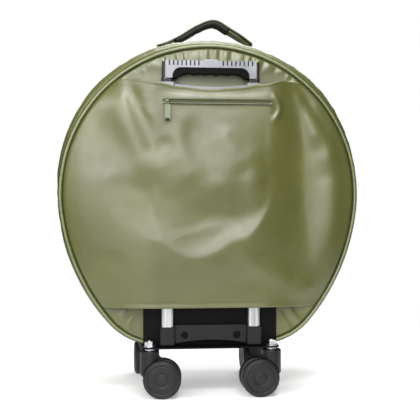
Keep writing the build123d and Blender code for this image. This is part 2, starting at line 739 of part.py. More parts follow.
def make_grip():
    half = grip_half
    front_v, rear_v = tube_v - grip_depth / 2, tube_v + grip_depth / 2
    opening_top = handle_top - grip_brow
    frame = Pos(0, (grip_base + handle_top) / 2) * RectangleRounded(2 * half, grip_height, 3.0)
    opening = Pos(0, opening_top - opening_deep / 2) * RectangleRounded(2 * opening_half, opening_deep, 17.0)
    shell = prism(frame - opening, front_v, rear_v)
    for n in range(slot_count):
        for s in (-1, 1):
            near = slot_first + n * slot_pitch
            x0, x1 = sorted((s * near, s * (near + slot_width)))
            foot = handle_top - slot_height
            shell -= block(x0, x1, front_v - 1, front_v + slot_depth, foot, handle_top + 1)
    for s in (-1, 1):
        shell -= shaft(grown(inner_size, 0.1), inner_corner, grip_base - 1, inner_head + 0.1, s)
        shell -= rod_z(s * tube_x, tube_v, grip_base, bar_top + bar_slack, rod_radius + 0.6)
    reach = tube_x + 4
    bar_low = bar_foot - button_travel - bar_slack
    shell -= block(-reach, reach, tube_v - 2.6, tube_v + 2.6, bar_low, bar_top + bar_slack)
    x = button_length / 2 + button_gap
    v = button_depth / 2 + button_gap
    button_well = bar_top - button_travel - bar_slack
    shell -= block(-x, x, tube_v - v, tube_v + v, button_well, handle_top + 1)
    split = block(-grip_width, grip_width, tube_v, tube_v + grip_depth, grip_base - 5, handle_top + 5)
    save("grip_front_shell", shell - split)
    save("grip_rear_shell", shell & split)

    inner_top = opening_top - rubber_top
    gap = 0.15
    deep = opening_deep - 2 * gap
    wide = 2 * (opening_half - gap)
    rubber = Pos(0, opening_top - opening_deep / 2) * RectangleRounded(wide, deep, 17.0 - gap)
    hand = 2 * (opening_half - rubber_side)
    rubber -= Pos(0, inner_top - opening_deep / 2) * RectangleRounded(hand, opening_deep, 14.0)
    pitch = (hand - 28) / rubber_waves
    for n in range(rubber_waves):
        x = (n - (rubber_waves - 1) / 2) * pitch
        radius = ((pitch / 2) ** 2 + wave_depth**2) / (2 * wave_depth)
        rubber -= Pos(x, inner_top + wave_depth - radius) * Circle(radius)
    rubber = rubber & Pos(0, grip_base + 60) * Rectangle(400, 120)
    save("grip_rubber", prism(rubber, front_v - 1.0, rear_v - 0.5))

    caps = []
    for s in (-1, 1):
        x0, x1 = sorted((s * (half + 0.1), s * grip_width / 2))
        cap = block(x0, x1, front_v + 0.5, rear_v - 0.5, grip_base + 0.5, handle_top - 2)
        upright = cap.edges().filter_by(Axis.Z).sort_by(Axis.X)
        cap = fillet(upright[:2] if s < 0 else upright[-2:], 3.5)
        caps.append(cap - shaft(grown(inner_size, 0.15), inner_corner, grip_base - 1, inner_head + 0.15, s))
    save("grip_end_caps", *caps)

    x, v = button_length / 2, button_depth / 2
    button = block(-x, x, tube_v - v, tube_v + v, bar_top, handle_top + button_proud)
    save("push_button", fillet(button.edges().group_by(Axis.Z)[-1], 2.0))
    bar = block(-tube_x - 3, tube_x + 3, tube_v - 2, tube_v + 2, bar_foot, bar_top)
    rods = [rod_z(s * tube_x, tube_v, rod_foot, bar_foot + 0.5, rod_radius) for s in (-1, 1)]
    save("push_rods", bar + rods[0] + rods[1])


# ================================================================ casters


def hexagon(flats, height):
    return extrude(RegularPolygon(flats / 2, 6, major_radius=False), height)


def make_fasteners():
    stems, nuts, washers = [], [], []
    housing_top = caster_top()
    for name, (x, v) in stem_places().items():
        rear = name.startswith("rear")
        top = plate_top
        place = Pos(x, y_of(v), 0)
        if rear:
            washer = rod_z(x, v, plate_top + 0.05, plate_top + washer_thickness, washer_radius)
            hole = rod_z(x, v, plate_top - 1, plate_top + 20, stem_radius + 0.1)
            washers.append(washer - hole)
            nut_foot = plate_top + washer_thickness + 0.05
            nut = place * Pos(0, 0, nut_foot) * hexagon(nut_flats, nut_height)
            nut = chamfer(nut.edges().group_by(Axis.Z)[-1], 0.9)
            nuts.append(nut - hole)
            top = nut_foot + nut_height + stem_top_above_nut
        lower = rod_z(x, v, housing_top + caster_gap, plate_underside - 0.05, lower_washer_radius)
        washers.append(lower - rod_z(x, v, housing_top - 1, plate_underside + 1, stem_radius + 0.1))
        stem = rod_z(x, v, stem_foot(), top, stem_radius)
        if rear:
            stem = fillet(stem.edges().group_by(Axis.Z)[-1], 1.2)
        stems.append(stem)
    save("caster_stems", *stems)
    save("caster_nuts", *nuts)
    save("caster_washers", *washers)


def caster_top():
    return plate_underside - 4.0


def stem_foot():
    return 2 * wheel_radius - 12.0


def make_caster(name):
    """A swivel housing on its stem, with an axle and a wheel on each side of its fin."""
    x, v = stem_places()[name]
    place = Pos(x, y_of(v), 0) * Rot(0, 0, rest_angles[name])
    top = caster_top()
    barrel = Pos(0, 0, (barrel_foot + top) / 2) * Cylinder(barrel_radius, top - barrel_foot)
    barrel = fillet(barrel.edges().group_by(Axis.Z)[-1], 2.5)
    barrel = fillet(barrel.edges().group_by(Axis.Z)[0], 9.0)
    fin_face = make_face(
        Polyline(
            (-barrel_radius + 3, top - 8),
            (-barrel_radius + 3, barrel_foot + 10),
            (trail - 15, wheel_radius - 14),
            (trail + 14, wheel_radius - 14),
            (trail + 18, wheel_radius + 8),
            (trail - 2, top - 14),
            (barrel_radius - 4, top - 8),
            close=True,
        )
    )
    fin_face = fillet(fin_face.vertices(), 5.0)
    fin = Plane(origin=(0, fin_thickness / 2, 0), x_dir=(1, 0, 0), z_dir=(0, -1, 0)) * fin_face
    fin = extrude(fin, fin_thickness)
    housing = barrel + fin
    well = wheel_radius + well_clearance
    inner_face = twin_gap / 2 - 0.9
    for s in (-1, 1):
        cut = Pos(trail, s * (inner_face + 30), wheel_radius) * Rot(90, 0, 0) * Cylinder(well, 60)
        housing -= cut
    bore_height = top - stem_foot() + 2
    housing -= Pos(0, 0, stem_foot() - 1 + bore_height / 2) * Cylinder(stem_radius + stem_clearance, bore_height)
    bore = Pos(trail, 0, wheel_radius) * Rot(90, 0, 0) * Cylinder(axle_radius + axle_clearance, 60)
    housing -= bore
    save(f"{name}_housing", place * housing)

    reach = twin_gap / 2 + wheel_width - 4.0
    axle = Pos(trail, 0, wheel_radius) * Rot(90, 0, 0) * Cylinder(axle_radius, 2 * reach)
    save(f"{name}_axle", place * axle)

    inner = twin_gap / 2
    outer = inner + wheel_width
    profile = make_face(
        Polyline(
            (0, inner),
            (12, inner),
            (12, inner + 4),
            (26, inner + 4),
            (26, inner),
            (wheel_radius - 2.5, inner),
            (wheel_radius, inner + 3),
            (wheel_radius, outer - 4.5),
            (wheel_radius - 4.0, outer - 0.5),
            (wheel_radius - 6.5, outer),
            (wheel_radius - 8.0, outer - 1.2),
            (0, outer - 0.6),
            close=True,
        )
    )
    disc = revolve(Plane.XY * profile, Axis.Y, 360)
    disc -= Pos(0, inner + (reach - inner) / 2 - 5, 0) * Rot(90, 0, 0) * Cylinder(
        axle_radius + axle_clearance, reach - inner + 10.6
    )
    spots = {"outer": Pos(trail, 0, wheel_radius), "inner": Pos(trail, 0, wheel_radius) * Rot(0, 0, 180)}
    for side, spot in spots.items():
        save(f"{name}_wheel_{side}", place * spot * disc)


def main():
    os.makedirs("parts", exist_ok=True)
    make_bag_shell()
    make_lid()
    make_main_zip()
    make_main_sliders()
    make_sleeve()
    make_pocket_zip()
    make_carry_handle()
    make_plates()
    make_brackets()
    make_stages()
    make_locks()
    make_grip()
    make_fasteners()
    for name in stem_places():
        make_caster(name)


main()
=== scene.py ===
import json
import math

import bpy
import numpy as np
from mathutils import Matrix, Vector


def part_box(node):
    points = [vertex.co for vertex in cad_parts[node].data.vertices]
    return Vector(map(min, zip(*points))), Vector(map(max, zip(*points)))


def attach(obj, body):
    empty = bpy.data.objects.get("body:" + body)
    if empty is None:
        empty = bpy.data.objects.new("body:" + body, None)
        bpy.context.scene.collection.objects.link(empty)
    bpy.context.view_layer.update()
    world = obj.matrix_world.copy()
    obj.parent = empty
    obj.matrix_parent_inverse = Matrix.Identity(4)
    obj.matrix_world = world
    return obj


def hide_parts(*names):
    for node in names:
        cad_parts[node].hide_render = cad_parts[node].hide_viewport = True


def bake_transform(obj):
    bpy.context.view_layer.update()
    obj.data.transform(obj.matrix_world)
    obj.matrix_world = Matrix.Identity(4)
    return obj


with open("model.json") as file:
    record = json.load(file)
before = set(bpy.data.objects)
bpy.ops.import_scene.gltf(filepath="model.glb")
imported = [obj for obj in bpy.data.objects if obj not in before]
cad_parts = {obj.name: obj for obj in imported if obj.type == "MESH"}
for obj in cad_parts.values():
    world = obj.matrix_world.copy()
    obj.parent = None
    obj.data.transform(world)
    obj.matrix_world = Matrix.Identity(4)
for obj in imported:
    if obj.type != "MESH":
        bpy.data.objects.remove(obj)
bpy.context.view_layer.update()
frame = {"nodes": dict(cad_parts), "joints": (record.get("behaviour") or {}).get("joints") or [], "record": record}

nodes = frame["nodes"]


# small tools

def smooth(low, high, x):  # an s-shaped step from 0 at low to 1 at high
    t = np.clip((x - low) / (high - low), 0.0, 1.0)
    return t * t * (3 - 2 * t)


def hump(x, centre, width):  # a bell: 1 at the centre, about a third one width away
    return np.exp(-(((x - centre) / width) ** 2))


def grid(rows, columns):  # two sets of values crossed, as whole arrays
    return np.meshgrid(rows, columns, indexing="ij")


def pointsAt(x, y, z):  # points from their three coordinates, any of which may be one number
    return np.stack(np.broadcast_arrays(*(np.asarray(v, float) for v in (x, y, z))), -1)


def ripple(x, seed, length, octaves=3):
    # a wandering curve: sines of uneven lengths and starts, drawn from a seed, that sum to about -1 to 1
    draw = np.random.default_rng(seed)
    total = np.zeros_like(x)
    for k in range(octaves):
        long = length / (1.7 ** k) * draw.uniform(0.85, 1.2)
        total = total + np.sin(2 * np.pi * x / long + draw.uniform(0, 6.28)) * 0.6 ** k
    return total / 1.6


def lumps(x, z, seed, size, count=7):
    # soft unevenness over a surface: plane waves of about one size that run in all directions
    draw = np.random.default_rng(seed)
    total = np.zeros_like(x)
    for _ in range(count):
        turn = draw.uniform(0, np.pi)
        length = size * draw.uniform(0.7, 1.6)
        wave = 2 * np.pi * (x * np.cos(turn) + z * np.sin(turn)) / length
        total = total + np.sin(wave + draw.uniform(0, 6.28))
    return total / math.sqrt(count * 1.4)


def addMesh(name, points, faces):
    mesh = bpy.data.meshes.new(name)
    mesh.from_pydata(np.asarray(points, float).reshape(-1, 3).tolist(), [], faces)
    mesh.polygons.foreach_set("use_smooth", np.ones(len(mesh.polygons), bool))
    mesh.update()
    piece = bpy.data.objects.new(name, mesh)
    bpy.context.scene.collection.objects.link(piece)
    return piece


def gridFaces(rows, columns, closedRows=False, closedColumns=False, flip=False):
    # one quad between each point and its next row and column, wrapping where the grid is closed
    i = np.arange(rows if closedRows else rows - 1)
    j = np.arange(columns if closedColumns else columns - 1)
    i, j = grid(i, j)
    a = i * columns + j
    b = ((i + 1) % rows) * columns + j
    c = ((i + 1) % rows) * columns + (j + 1) % columns
    d = i * columns + (j + 1) % columns
    quads = np.stack([a, b, c, d] if not flip else [a, d, c, b], -1)
    return quads.reshape(-1, 4)


def addGrid(name, points, flip=False, closedRows=False, closedColumns=False):  # a skin over a grid of points
    return addMesh(name, points, gridFaces(*points.shape[:2], closedRows, closedColumns, flip).tolist())


def modify(piece, kind, **settings):
    step = piece.modifiers.new(kind.lower(), kind)
    for key, value in settings.items():
        setattr(step, key, value)
    return step


def settle(piece):  # applies every modifier
    bpy.context.view_layer.update()
    view = bpy.context.evaluated_depsgraph_get()
    done = bpy.data.meshes.new_from_object(piece.evaluated_get(view))
    piece.modifiers.clear()
    piece.data = done
    return piece


def coords(piece):
    flat = np.empty(len(piece.data.vertices) * 3, np.float32)
    piece.data.vertices.foreach_get("co", flat)
    return flat.reshape(-1, 3).astype(float)


def place(piece, body, slotName, finish, *stoodFor):  # its body, slot (not used) and material, and what it stands for
    piece.data.materials.clear()
    piece.data.materials.append(finish)
    if body:
        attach(piece, body)
    if stoodFor:
        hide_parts(*stoodFor)
    return piece


def relax(points, pinned, cloth, closedRows=False):
    # lets a skin settle as stiff cloth, with a little fabric to spare and a light pressure; its moves are evened
    # out over the grid, by turns of averaging with the neighbours, and none is longer than the cap
    piece = addGrid("settling", points, closedRows=closedRows)
    start = coords(piece)
    group = piece.vertex_groups.new(name="pin")
    held = np.round(np.clip(np.asarray(pinned, float), 0, 1).ravel(), 1)
    for level in np.unique(held):
        group.add(np.flatnonzero(held == level).tolist(), float(level), "REPLACE")
    step = piece.modifiers.new("cloth", "CLOTH")
    step.settings.quality = 5
    step.settings.mass = 0.3
    step.settings.tension_stiffness = step.settings.compression_stiffness = 25
    step.settings.shear_stiffness = 8
    step.settings.bending_stiffness = cloth["stiff"]
    step.settings.vertex_group_mass = "pin"
    step.settings.shrink_min = -cloth["spare"]
    step.settings.use_pressure = True
    step.settings.uniform_pressure_force = cloth["pressure"]
    step.settings.effector_weights.gravity = 0
    step.point_cache.frame_start, step.point_cache.frame_end = 1, 20
    for frameNumber in range(1, 21):
        bpy.context.scene.frame_set(frameNumber)
    view = bpy.context.evaluated_depsgraph_get()
    done = piece.evaluated_get(view).data
    flat = np.empty(len(done.vertices) * 3, np.float32)
    done.vertices.foreach_get("co", flat)
    moved = (flat.reshape(-1, 3).astype(float) - start).reshape(points.shape)
    free = (1 - np.clip(np.asarray(pinned, float), 0, 1))[..., None]
    for _ in range(cloth["even"]):
        rows = np.pad(moved, ((1, 1), (0, 0), (0, 0)), mode="wrap" if closedRows else "edge")
        moved = (rows[:-2] + 2 * moved + rows[2:]) / 4
        columns = np.pad(moved, ((0, 0), (1, 1), (0, 0)), mode="edge")
        moved = (columns[:, :-2] + 2 * moved + columns[:, 2:]) / 4
    moved = (moved * free).reshape(-1, 3)
    far = np.linalg.norm(moved, axis=1, keepdims=True)
    moved = moved * np.minimum(1, cloth["cap"] / np.maximum(far, 1e-9))
    bpy.data.objects.remove(piece)
    bpy.context.scene.frame_set(1)
    return (start + moved).reshape(points.shape)


def spindle(xs, rs, sides):
    # a closed turned shape along x: a pole, rings of the radii rs at the places xs, and a pole
    turn = np.linspace(0, 2 * np.pi, sides, endpoint=False)
    xs, rs = np.asarray(xs, float), np.asarray(rs, float)
    rings = np.stack([
        np.broadcast_to(xs[1:-1, None], (len(xs) - 2, sides)),
        rs[1:-1, None] * np.cos(turn), rs[1:-1, None] * np.sin(turn),
    ], -1).reshape(-1, 3)
    points = np.concatenate([[[xs[0], 0, 0]], rings, [[xs[-1], 0, 0]]])
    quads = gridFaces(len(xs) - 2, sides, closedColumns=True, flip=True) + 1
    last, base = len(points) - 1, 1 + (len(xs) - 3) * sides
    k = np.arange(sides)
    first = np.stack([np.zeros(sides, int), 1 + (k + 1) % sides, 1 + k], -1)
    final = np.stack([np.full(sides, last), base + k, base + (k + 1) % sides], -1)
    return points, quads, np.concatenate([first, final])


def strew(name, unit, spots, ahead, up):
    # copies of a small shape, each with its x along ahead and its z along up
    points, quads, triangles = unit
    side = np.cross(up, ahead)
    placed = spots[:, None] + points[None, :, :1] * ahead[:, None] + points[None, :, 1:2] * side[:, None]
    placed = placed + points[None, :, 2:] * up[:, None]
    shift = np.arange(len(spots))[:, None, None] * len(points)
    faces = (quads[None] + shift).reshape(-1, 4).tolist() + (triangles[None] + shift).reshape(-1, 3).tolist()
    return addMesh(name, placed.reshape(-1, 3), faces)


def unitOf(v):
    return v / np.linalg.norm(v, axis=-1, keepdims=True)


def through(points, x):
    # a smooth curve through points: cubic pieces whose slopes are the mean of their sides
    px, pz = np.array(points, float).T
    slope = np.gradient(pz, px)
    x = np.clip(x, px[0], px[-1])
    k = np.clip(np.searchsorted(px, x) - 1, 0, len(px) - 2)
    step = px[k + 1] - px[k]
    t = (x - px[k]) / step
    start = (2 * t ** 3 - 3 * t ** 2 + 1) * pz[k] + (t ** 3 - 2 * t ** 2 + t) * step * slope[k]
    return start + (3 * t ** 2 - 2 * t ** 3) * pz[k + 1] + (t ** 3 - t ** 2) * step * slope[k + 1]


def sew(name, lines, pitch=0.0042, long=0.0029, thick=0.00034):
    # a row of stitches along each line of points, standing on the normals given with it
    spots, aheads, ups = [], [], []
    for line, normal in lines:
        run = np.concatenate([[0], np.cumsum(np.linalg.norm(np.diff(line, axis=0), axis=1))])
        at = np.arange(pitch / 2, run[-1], pitch)
        sample = lambda a: np.stack([np.interp(at, run, a[:, k]) for k in range(3)], -1)
        ahead = unitOf(sample(np.gradient(line, axis=0)))
        up = sample(normal)
        up = unitOf(up - (up * ahead).sum(-1, keepdims=True) * ahead)
        spots.append(sample(line) + up * thick * 0.35)
        aheads.append(ahead)
        ups.append(up)
    h = long / 2
    unit = spindle([-h, -h * 0.8, 0, h * 0.8, h], [0, thick * 0.75, thick, thick * 0.75, 0], 6)
    return strew(name, unit, np.concatenate(spots), np.concatenate(aheads), np.concatenate(ups))


def roundedLoop(halfX, halfZ, corner, count=72):
    # a rounded rectangle's points, evenly spaced: four straight sides and four quarter circles
    corner = min(corner, halfX, halfZ) * 0.999
    turn = np.linspace(0, np.pi / 2, 13)
    cx, cz = halfX - corner, halfZ - corner
    arcs = [np.stack([sx * cx + corner * np.cos(turn + a), sz * cz + corner * np.sin(turn + a)], -1)
            for sx, sz, a in ((1, 1, 0), (-1, 1, np.pi / 2), (-1, -1, np.pi), (1, -1, 1.5 * np.pi))]
    loop = np.concatenate(arcs + [arcs[0][:1]])
    run = np.concatenate([[0], np.cumsum(np.linalg.norm(np.diff(loop, axis=0), axis=1))])
    at = np.linspace(0, run[-1], count, endpoint=False)
    return np.stack([np.interp(at, run, loop[:, k]) for k in range(2)], -1)


def puck(halfX, halfZ, corner, profile, count=72):
    # loops of a rounded rectangle: at each step of the profile it is drawn in by an inset at a depth
    loops = []
    for inset, depth in profile:
        hx, hz = max(halfX - inset, 1e-5), max(halfZ - inset, 1e-5)
        loop = roundedLoop(hx, hz, max(corner - inset, 1e-5), count)
        loops.append(np.stack([loop[:, 0], np.full(count, depth), loop[:, 1]], -1))
    return np.stack(loops)


def softPad(half, thick, edge, steps=5):
    # the profile of a flat pad with rounded edges: from the front's middle, round the edge, to the back's middle
    turn = np.linspace(0, np.pi, 2 * steps + 1)
    rim = [(edge * (1 - np.sin(a)), -thick / 2 * np.cos(a)) for a in turn]
    ease = [(half * k, -thick / 2) for k in (0.99, 0.7, 0.4)]
    rim = [(edge + 0.0008, -thick / 2)] + rim + [(edge + 0.0008, thick / 2)]
    return ease + rim + [(inset, -depth) for inset, depth in ease[::-1]]


def join(name, *pieces):  # several pieces made one
    points, faces, base = [], [], 0
    for piece in pieces:
        own = coords(piece)
        faces += [[base + k for k in face.vertices] for face in piece.data.polygons]
        points.append(own)
        base += len(own)
        bpy.data.objects.remove(piece)
    return addMesh(name, np.concatenate(points), faces)


def shell(name, loops, ends=(True, True), flip=None):
    # a skin of closed loops, each closed end drawn to a pole; a closed shape is turned so that it faces outward
    count, around = loops.shape[:2]
    points = loops.reshape(-1, 3)
    k = np.arange(around)
    fans = []
    for wanted, row, order in ((ends[0], 0, 1), (ends[1], count - 1, -1)):
        if wanted:
            pair = [row * around + (k + 1) % around, row * around + k][::order]
            fans.append(np.stack([np.full(around, len(points)), *pair], -1))
            points = np.concatenate([points, loops[row].mean(0, keepdims=True)])
    quads = gridFaces(count, around, closedColumns=True, flip=True)
    if flip is None:
        corners = np.concatenate([quads[:, :3], quads[:, [0, 2, 3]], *fans])
        a, b, c = (points[corners[:, n]] - points.mean(0) for n in range(3))
        flip = float((a * np.cross(b, c)).sum()) < 0
    faces = quads.tolist() + [face for fan in fans for face in fan.tolist()]
    return addMesh(name, points, [face[::-1] for face in faces] if flip else faces)


def tubeAlong(name, path, radius, sides, closed=True):
    # a round profile carried along a path: at each point a circle in the plane of two normals to the path
    path = np.asarray(path, float)
    if closed:
        ahead = np.roll(path, -1, 0) - np.roll(path, 1, 0)
    else:
        ahead = np.gradient(path, axis=0)
    ahead /= np.linalg.norm(ahead, axis=1)[:, None]
    up = np.array([0.0, 1.0, 0.0])
    side = np.cross(ahead, up)
    side /= np.linalg.norm(side, axis=1)[:, None]
    over = np.cross(side, ahead)
    turn = np.linspace(0, 2 * np.pi, sides, endpoint=False)
    radius = np.broadcast_to(np.asarray(radius, float), (len(path),))
    circle = np.cos(turn)[None, :, None] * side[:, None] + np.sin(turn)[None, :, None] * over[:, None]
    ring = path[:, None] + radius[:, None, None] * circle
    return addGrid(name, ring, closedRows=True, closedColumns=True) if closed else shell(name, ring)


# shader maths: Wire wraps a socket, so that + - * / on wires add Math nodes

class Wire:
    def __init__(self, finish, socket):
        self.finish = finish
        self.socket = socket

    def sum(self, kind, other, swapped=False):
        pair = [other, self] if swapped else [self, other]
        return self.finish.node("ShaderNodeMath", {"operation": kind}, {0: pair[0], 1: pair[1]})

    def __add__(self, other): return self.sum("ADD", other)
    def __radd__(self, other): return self.sum("ADD", other, True)
    def __sub__(self, other): return self.sum("SUBTRACT", other)
    def __rsub__(self, other): return self.sum("SUBTRACT", other, True)
    def __mul__(self, other): return self.sum("MULTIPLY", other)
    def __rmul__(self, other): return self.sum("MULTIPLY", other, True)

    def spread(self, low, high, toLow=0.0, toHigh=1.0):
        ends = {"From Min": low, "From Max": high, "To Min": toLow, "To Max": toHigh, "Value": self}
        return self.finish.node("ShaderNodeMapRange", {"interpolation_type": "SMOOTHSTEP"}, ends)


class Finish:
    def __init__(self, name):
        self.material = bpy.data.materials.new(name)
        self.material.use_nodes = True
        self.tree = self.material.node_tree
        self.tree.nodes.clear()
        self.shader = self.tree.nodes.new("ShaderNodeBsdfPrincipled")
        out = self.tree.nodes.new("ShaderNodeOutputMaterial")
        self.tree.links.new(self.shader.outputs[0], out.inputs[0])

    def feed(self, socket, value):
        if isinstance(value, Wire):
            self.tree.links.new(value.socket, socket)
        else:
            socket.default_value = value

    def node(self, kind, settings=None, values=None, out=0):
        made = self.tree.nodes.new(kind)
        for key, value in (settings or {}).items():
            setattr(made, key, value)
        for key, value in (values or {}).items():
            self.feed(made.inputs[key], value)
        return Wire(self, made.outputs[out])

    def place(self, scale=(1, 1, 1)):
        spot = self.node("ShaderNodeTexCoord", out="Object")
        return self.node("ShaderNodeMapping", {}, {"Vector": spot, "Scale": scale})

    def noise(self, at, scale, detail=3.0, rough=0.5, distort=0.0):
        values = {"Vector": at, "Scale": scale, "Detail": detail, "Roughness": rough, "Distortion": distort}
        return self.node("ShaderNodeTexNoise", {}, values)

    def cells(self, at, scale):
        return self.node("ShaderNodeTexVoronoi", {"feature": "F1"}, {"Vector": at, "Scale": scale}, "Distance")

    def stripes(self, at, scale, axis, distort):
        settings = {"wave_type": "BANDS", "bands_direction": axis, "wave_profile": "SIN"}
        values = {"Vector": at, "Scale": scale, "Distortion": distort, "Detail": 1.0}
        return self.node("ShaderNodeTexWave", settings, values)

    def blend(self, amount, first, second):
        return self.node("ShaderNodeMix", {"data_type": "RGBA"}, {0: amount, 6: first, 7: second}, 2)

    def bump(self, height, distance, strength=1.0, under=None):
        values = {"Height": height, "Distance": distance, "Strength": strength}
        if under is not None:
            values["Normal"] = under
        return self.node("ShaderNodeBump", {}, values)

    def set(self, **values):
        for key, value in values.items():
            self.feed(self.shader.inputs[key.replace("_", " ")], value)
        return self.material


def tone(r, g, b):  # a colour given in the screen's own 0-255 steps, as the shader's linear light
    return tuple(((c / 255 + 0.055) / 1.055) ** 2.4 if c > 10 else c / 255 / 12.92 for c in (r, g, b)) + (1.0,)


# finishes

coatedCloth = {"light": (87, 89, 38), "dark": (77, 79, 32), "rough": 0.42, "grain": 900.0, "crease": 42.0}


def coatedFinish(name, light, dark, rough, grain=900.0, crease=60.0, depth=0.00010):
    # a smooth satin coating: fine pores, faint creases and a slow change of tone, under a thin clear coat
    f = Finish(name)
    at = f.place()
    patch = f.noise(at, 5.0, 3.0, 0.5)
    pores = f.cells(at, grain)
    fine = f.noise(at, grain * 0.55, 2.0)
    creases = f.noise(at, crease, 4.0, 0.55, 0.3)
    colour = f.blend(patch.spread(0.3, 0.7), tone(*dark), tone(*light))
    colour = f.blend(fine.spread(0.35, 0.7, 0.0, 0.10), colour, tone(*[c * 0.72 for c in dark]))
    bumps = f.bump(pores * 0.5 + fine * 0.5, depth, 0.5)
    bumps = f.bump(creases, 0.0009, 0.16, bumps)
    shine = creases.spread(0.35, 0.7, rough - 0.03, rough + 0.05) + fine * 0.04
    return f.set(Base_Color=colour, Roughness=shine, Normal=bumps, Specular_IOR_Level=0.85,
                 Coat_Weight=0.22, Coat_Roughness=0.3)


clothOlive = coatedFinish("clothOlive", **coatedCloth)
pipingOlive = coatedFinish("pipingOlive", (110, 118, 72), (98, 106, 60), 0.42, 1200.0, 180.0)
pullOlive = coatedFinish("pullOlive", (104, 116, 80), (92, 104, 68), 0.42, 1600.0, 200.0)


def wovenFinish(name, light, dark, rough, threads=1100.0, depth=0.00025):
    # two crossed sets of fine bands, one over the other, like a plain weave
    f = Finish(name)
    at = f.place()
    across = f.stripes(at, threads * 0.159, "X", 0.4)
    along = f.stripes(at, threads * 0.159, "Z", 0.4)
    deep = f.stripes(at, threads * 0.159, "Y", 0.4)
    weave = across * along + deep * 0.3
    fuzz = f.noise(at, 2400.0, 2.0)
    patch = f.noise(at, 30.0, 3.0)
    colour = f.blend(weave.spread(0.1, 0.9), tone(*dark), tone(*light))
    colour = f.blend(patch.spread(0.3, 0.7, 0.0, 0.25), colour, tone(*dark))
    bumps = f.bump(weave + fuzz * 0.3, depth, 0.8)
    return f.set(Base_Color=colour, Roughness=fuzz * 0.15 + (rough - 0.07), Normal=bumps)


webBlack = wovenFinish("webBlack", (16, 16, 17), (6, 6, 7), 0.7, 700.0)
zipTape = wovenFinish("zipTape", (96, 104, 64), (66, 72, 42), 0.6, 1500.0, 0.00015)
liningDark = wovenFinish("liningDark", (52, 54, 50), (32, 34, 31), 0.66, 1300.0, 0.00012)
threadOlive = wovenFinish("threadOlive", (84, 90, 52), (62, 68, 36), 0.6, 2600.0, 0.00008)
# a near-black olive for the thin lines in the grooves beside the piping and along the pocket zip: painted shade
paintedGrooveShade = wovenFinish("paintedGrooveShade", (44, 48, 22), (30, 33, 15), 0.75, 2600.0, 0.00008)


def plasticFinish(name, light, dark, rough, grain=1800.0, depth=0.00008, metallic=0.0, coat=0.0, level=0.5):
    # moulded grain, with rubbed patches that are a little paler and smoother
    f = Finish(name)
    at = f.place()
    speck = f.noise(at, grain, 3.0, 0.6)
    wear = f.noise(at, 22.0, 5.0, 0.65)
    rub = f.noise(at, 140.0, 4.0, 0.7)
    colour = f.blend(speck.spread(0.35, 0.65), tone(*dark), tone(*light))
    colour = f.blend(wear.spread(0.45, 0.75, 0.0, 0.3), colour, tone(*[min(255, c * 1.25 + 4) for c in light]))
    shine = (wear * 0.6 + rub * 0.4).spread(0.3, 0.7, rough - 0.06, rough + 0.08)
    bumps = f.bump(speck, depth, 0.7)
    bumps = f.bump(rub, 0.0003, 0.10, bumps)
    return f.set(Base_Color=colour, Roughness=shine, Normal=bumps, Metallic=metallic, Coat_Weight=coat,
                 Specular_IOR_Level=level)


blackPlastic = plasticFinish("blackPlastic", (19, 19, 20), (11, 11, 12), 0.40, level=0.36)
screwBlack = plasticFinish("screwBlack", (9, 9, 10), (5, 5, 6), 0.16, 1800.0, 0.00002, level=0.6)
blackSteel = plasticFinish("blackSteel", (4, 4, 5), (2, 2, 3), 0.50, 900.0, 0.00005, level=0.12)
silverPlastic = plasticFinish("silverPlastic", (136, 137, 141), (112, 113, 118), 0.40, 2600.0, 0.00003, 0.4,
                              0.15)
gripRubber = plasticFinish("gripRubber", (4, 4, 5), (2, 2, 3), 0.44, 1500.0, 0.0001, level=0.07)
wheelGrey = plasticFinish("wheelGrey", (32, 32, 34), (22, 22, 24), 0.46, 1300.0, 0.0001, level=0.3)
sliderPaint = plasticFinish("sliderPaint", (92, 102, 66), (78, 86, 54), 0.35, 1500.0, 0.00004, 0.3)


def brushedFinish(name, light, dark, rough, stretch=(400.0, 400.0, 6.0)):
    # fine streaks along the piece: noise drawn out along Z
    f = Finish(name)
    streak = f.noise(f.place(stretch), 1.0, 4.0, 0.6)
    smear = f.noise(f.place(), 35.0, 3.0)
    colour = f.blend(streak.spread(0.3, 0.7), tone(*dark), tone(*light))
    shine = streak.spread(0.3, 0.7, rough - 0.05, rough + 0.06) + smear * 0.06
    return f.set(Base_Color=colour, Roughness=shine, Metallic=1.0, Normal=f.bump(streak, 0.00005, 0.4))


tubeSatin = brushedFinish("tubeSatin", (236, 237, 239), (214, 215, 218), 0.28)
zincBright = brushedFinish("zincBright", (226, 228, 232), (190, 194, 200), 0.2, (300.0, 300.0, 300.0))

print("finishes done")

# where things are, from the frame

rimLow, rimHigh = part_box("rear_piping")
panelLow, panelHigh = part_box("back_panel")
lidLow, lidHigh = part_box("front_piping")
gussetLow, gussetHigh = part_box("gusset")
panelY = panelLow.y
bagRadius = rimHigh.x
bagFoot = rimLow.z
bagMiddle = rimHigh.z - bagRadius
bag = {"flankExtra": 0.120, "flankStart": 8.0, "cornerRadius": 0.130}


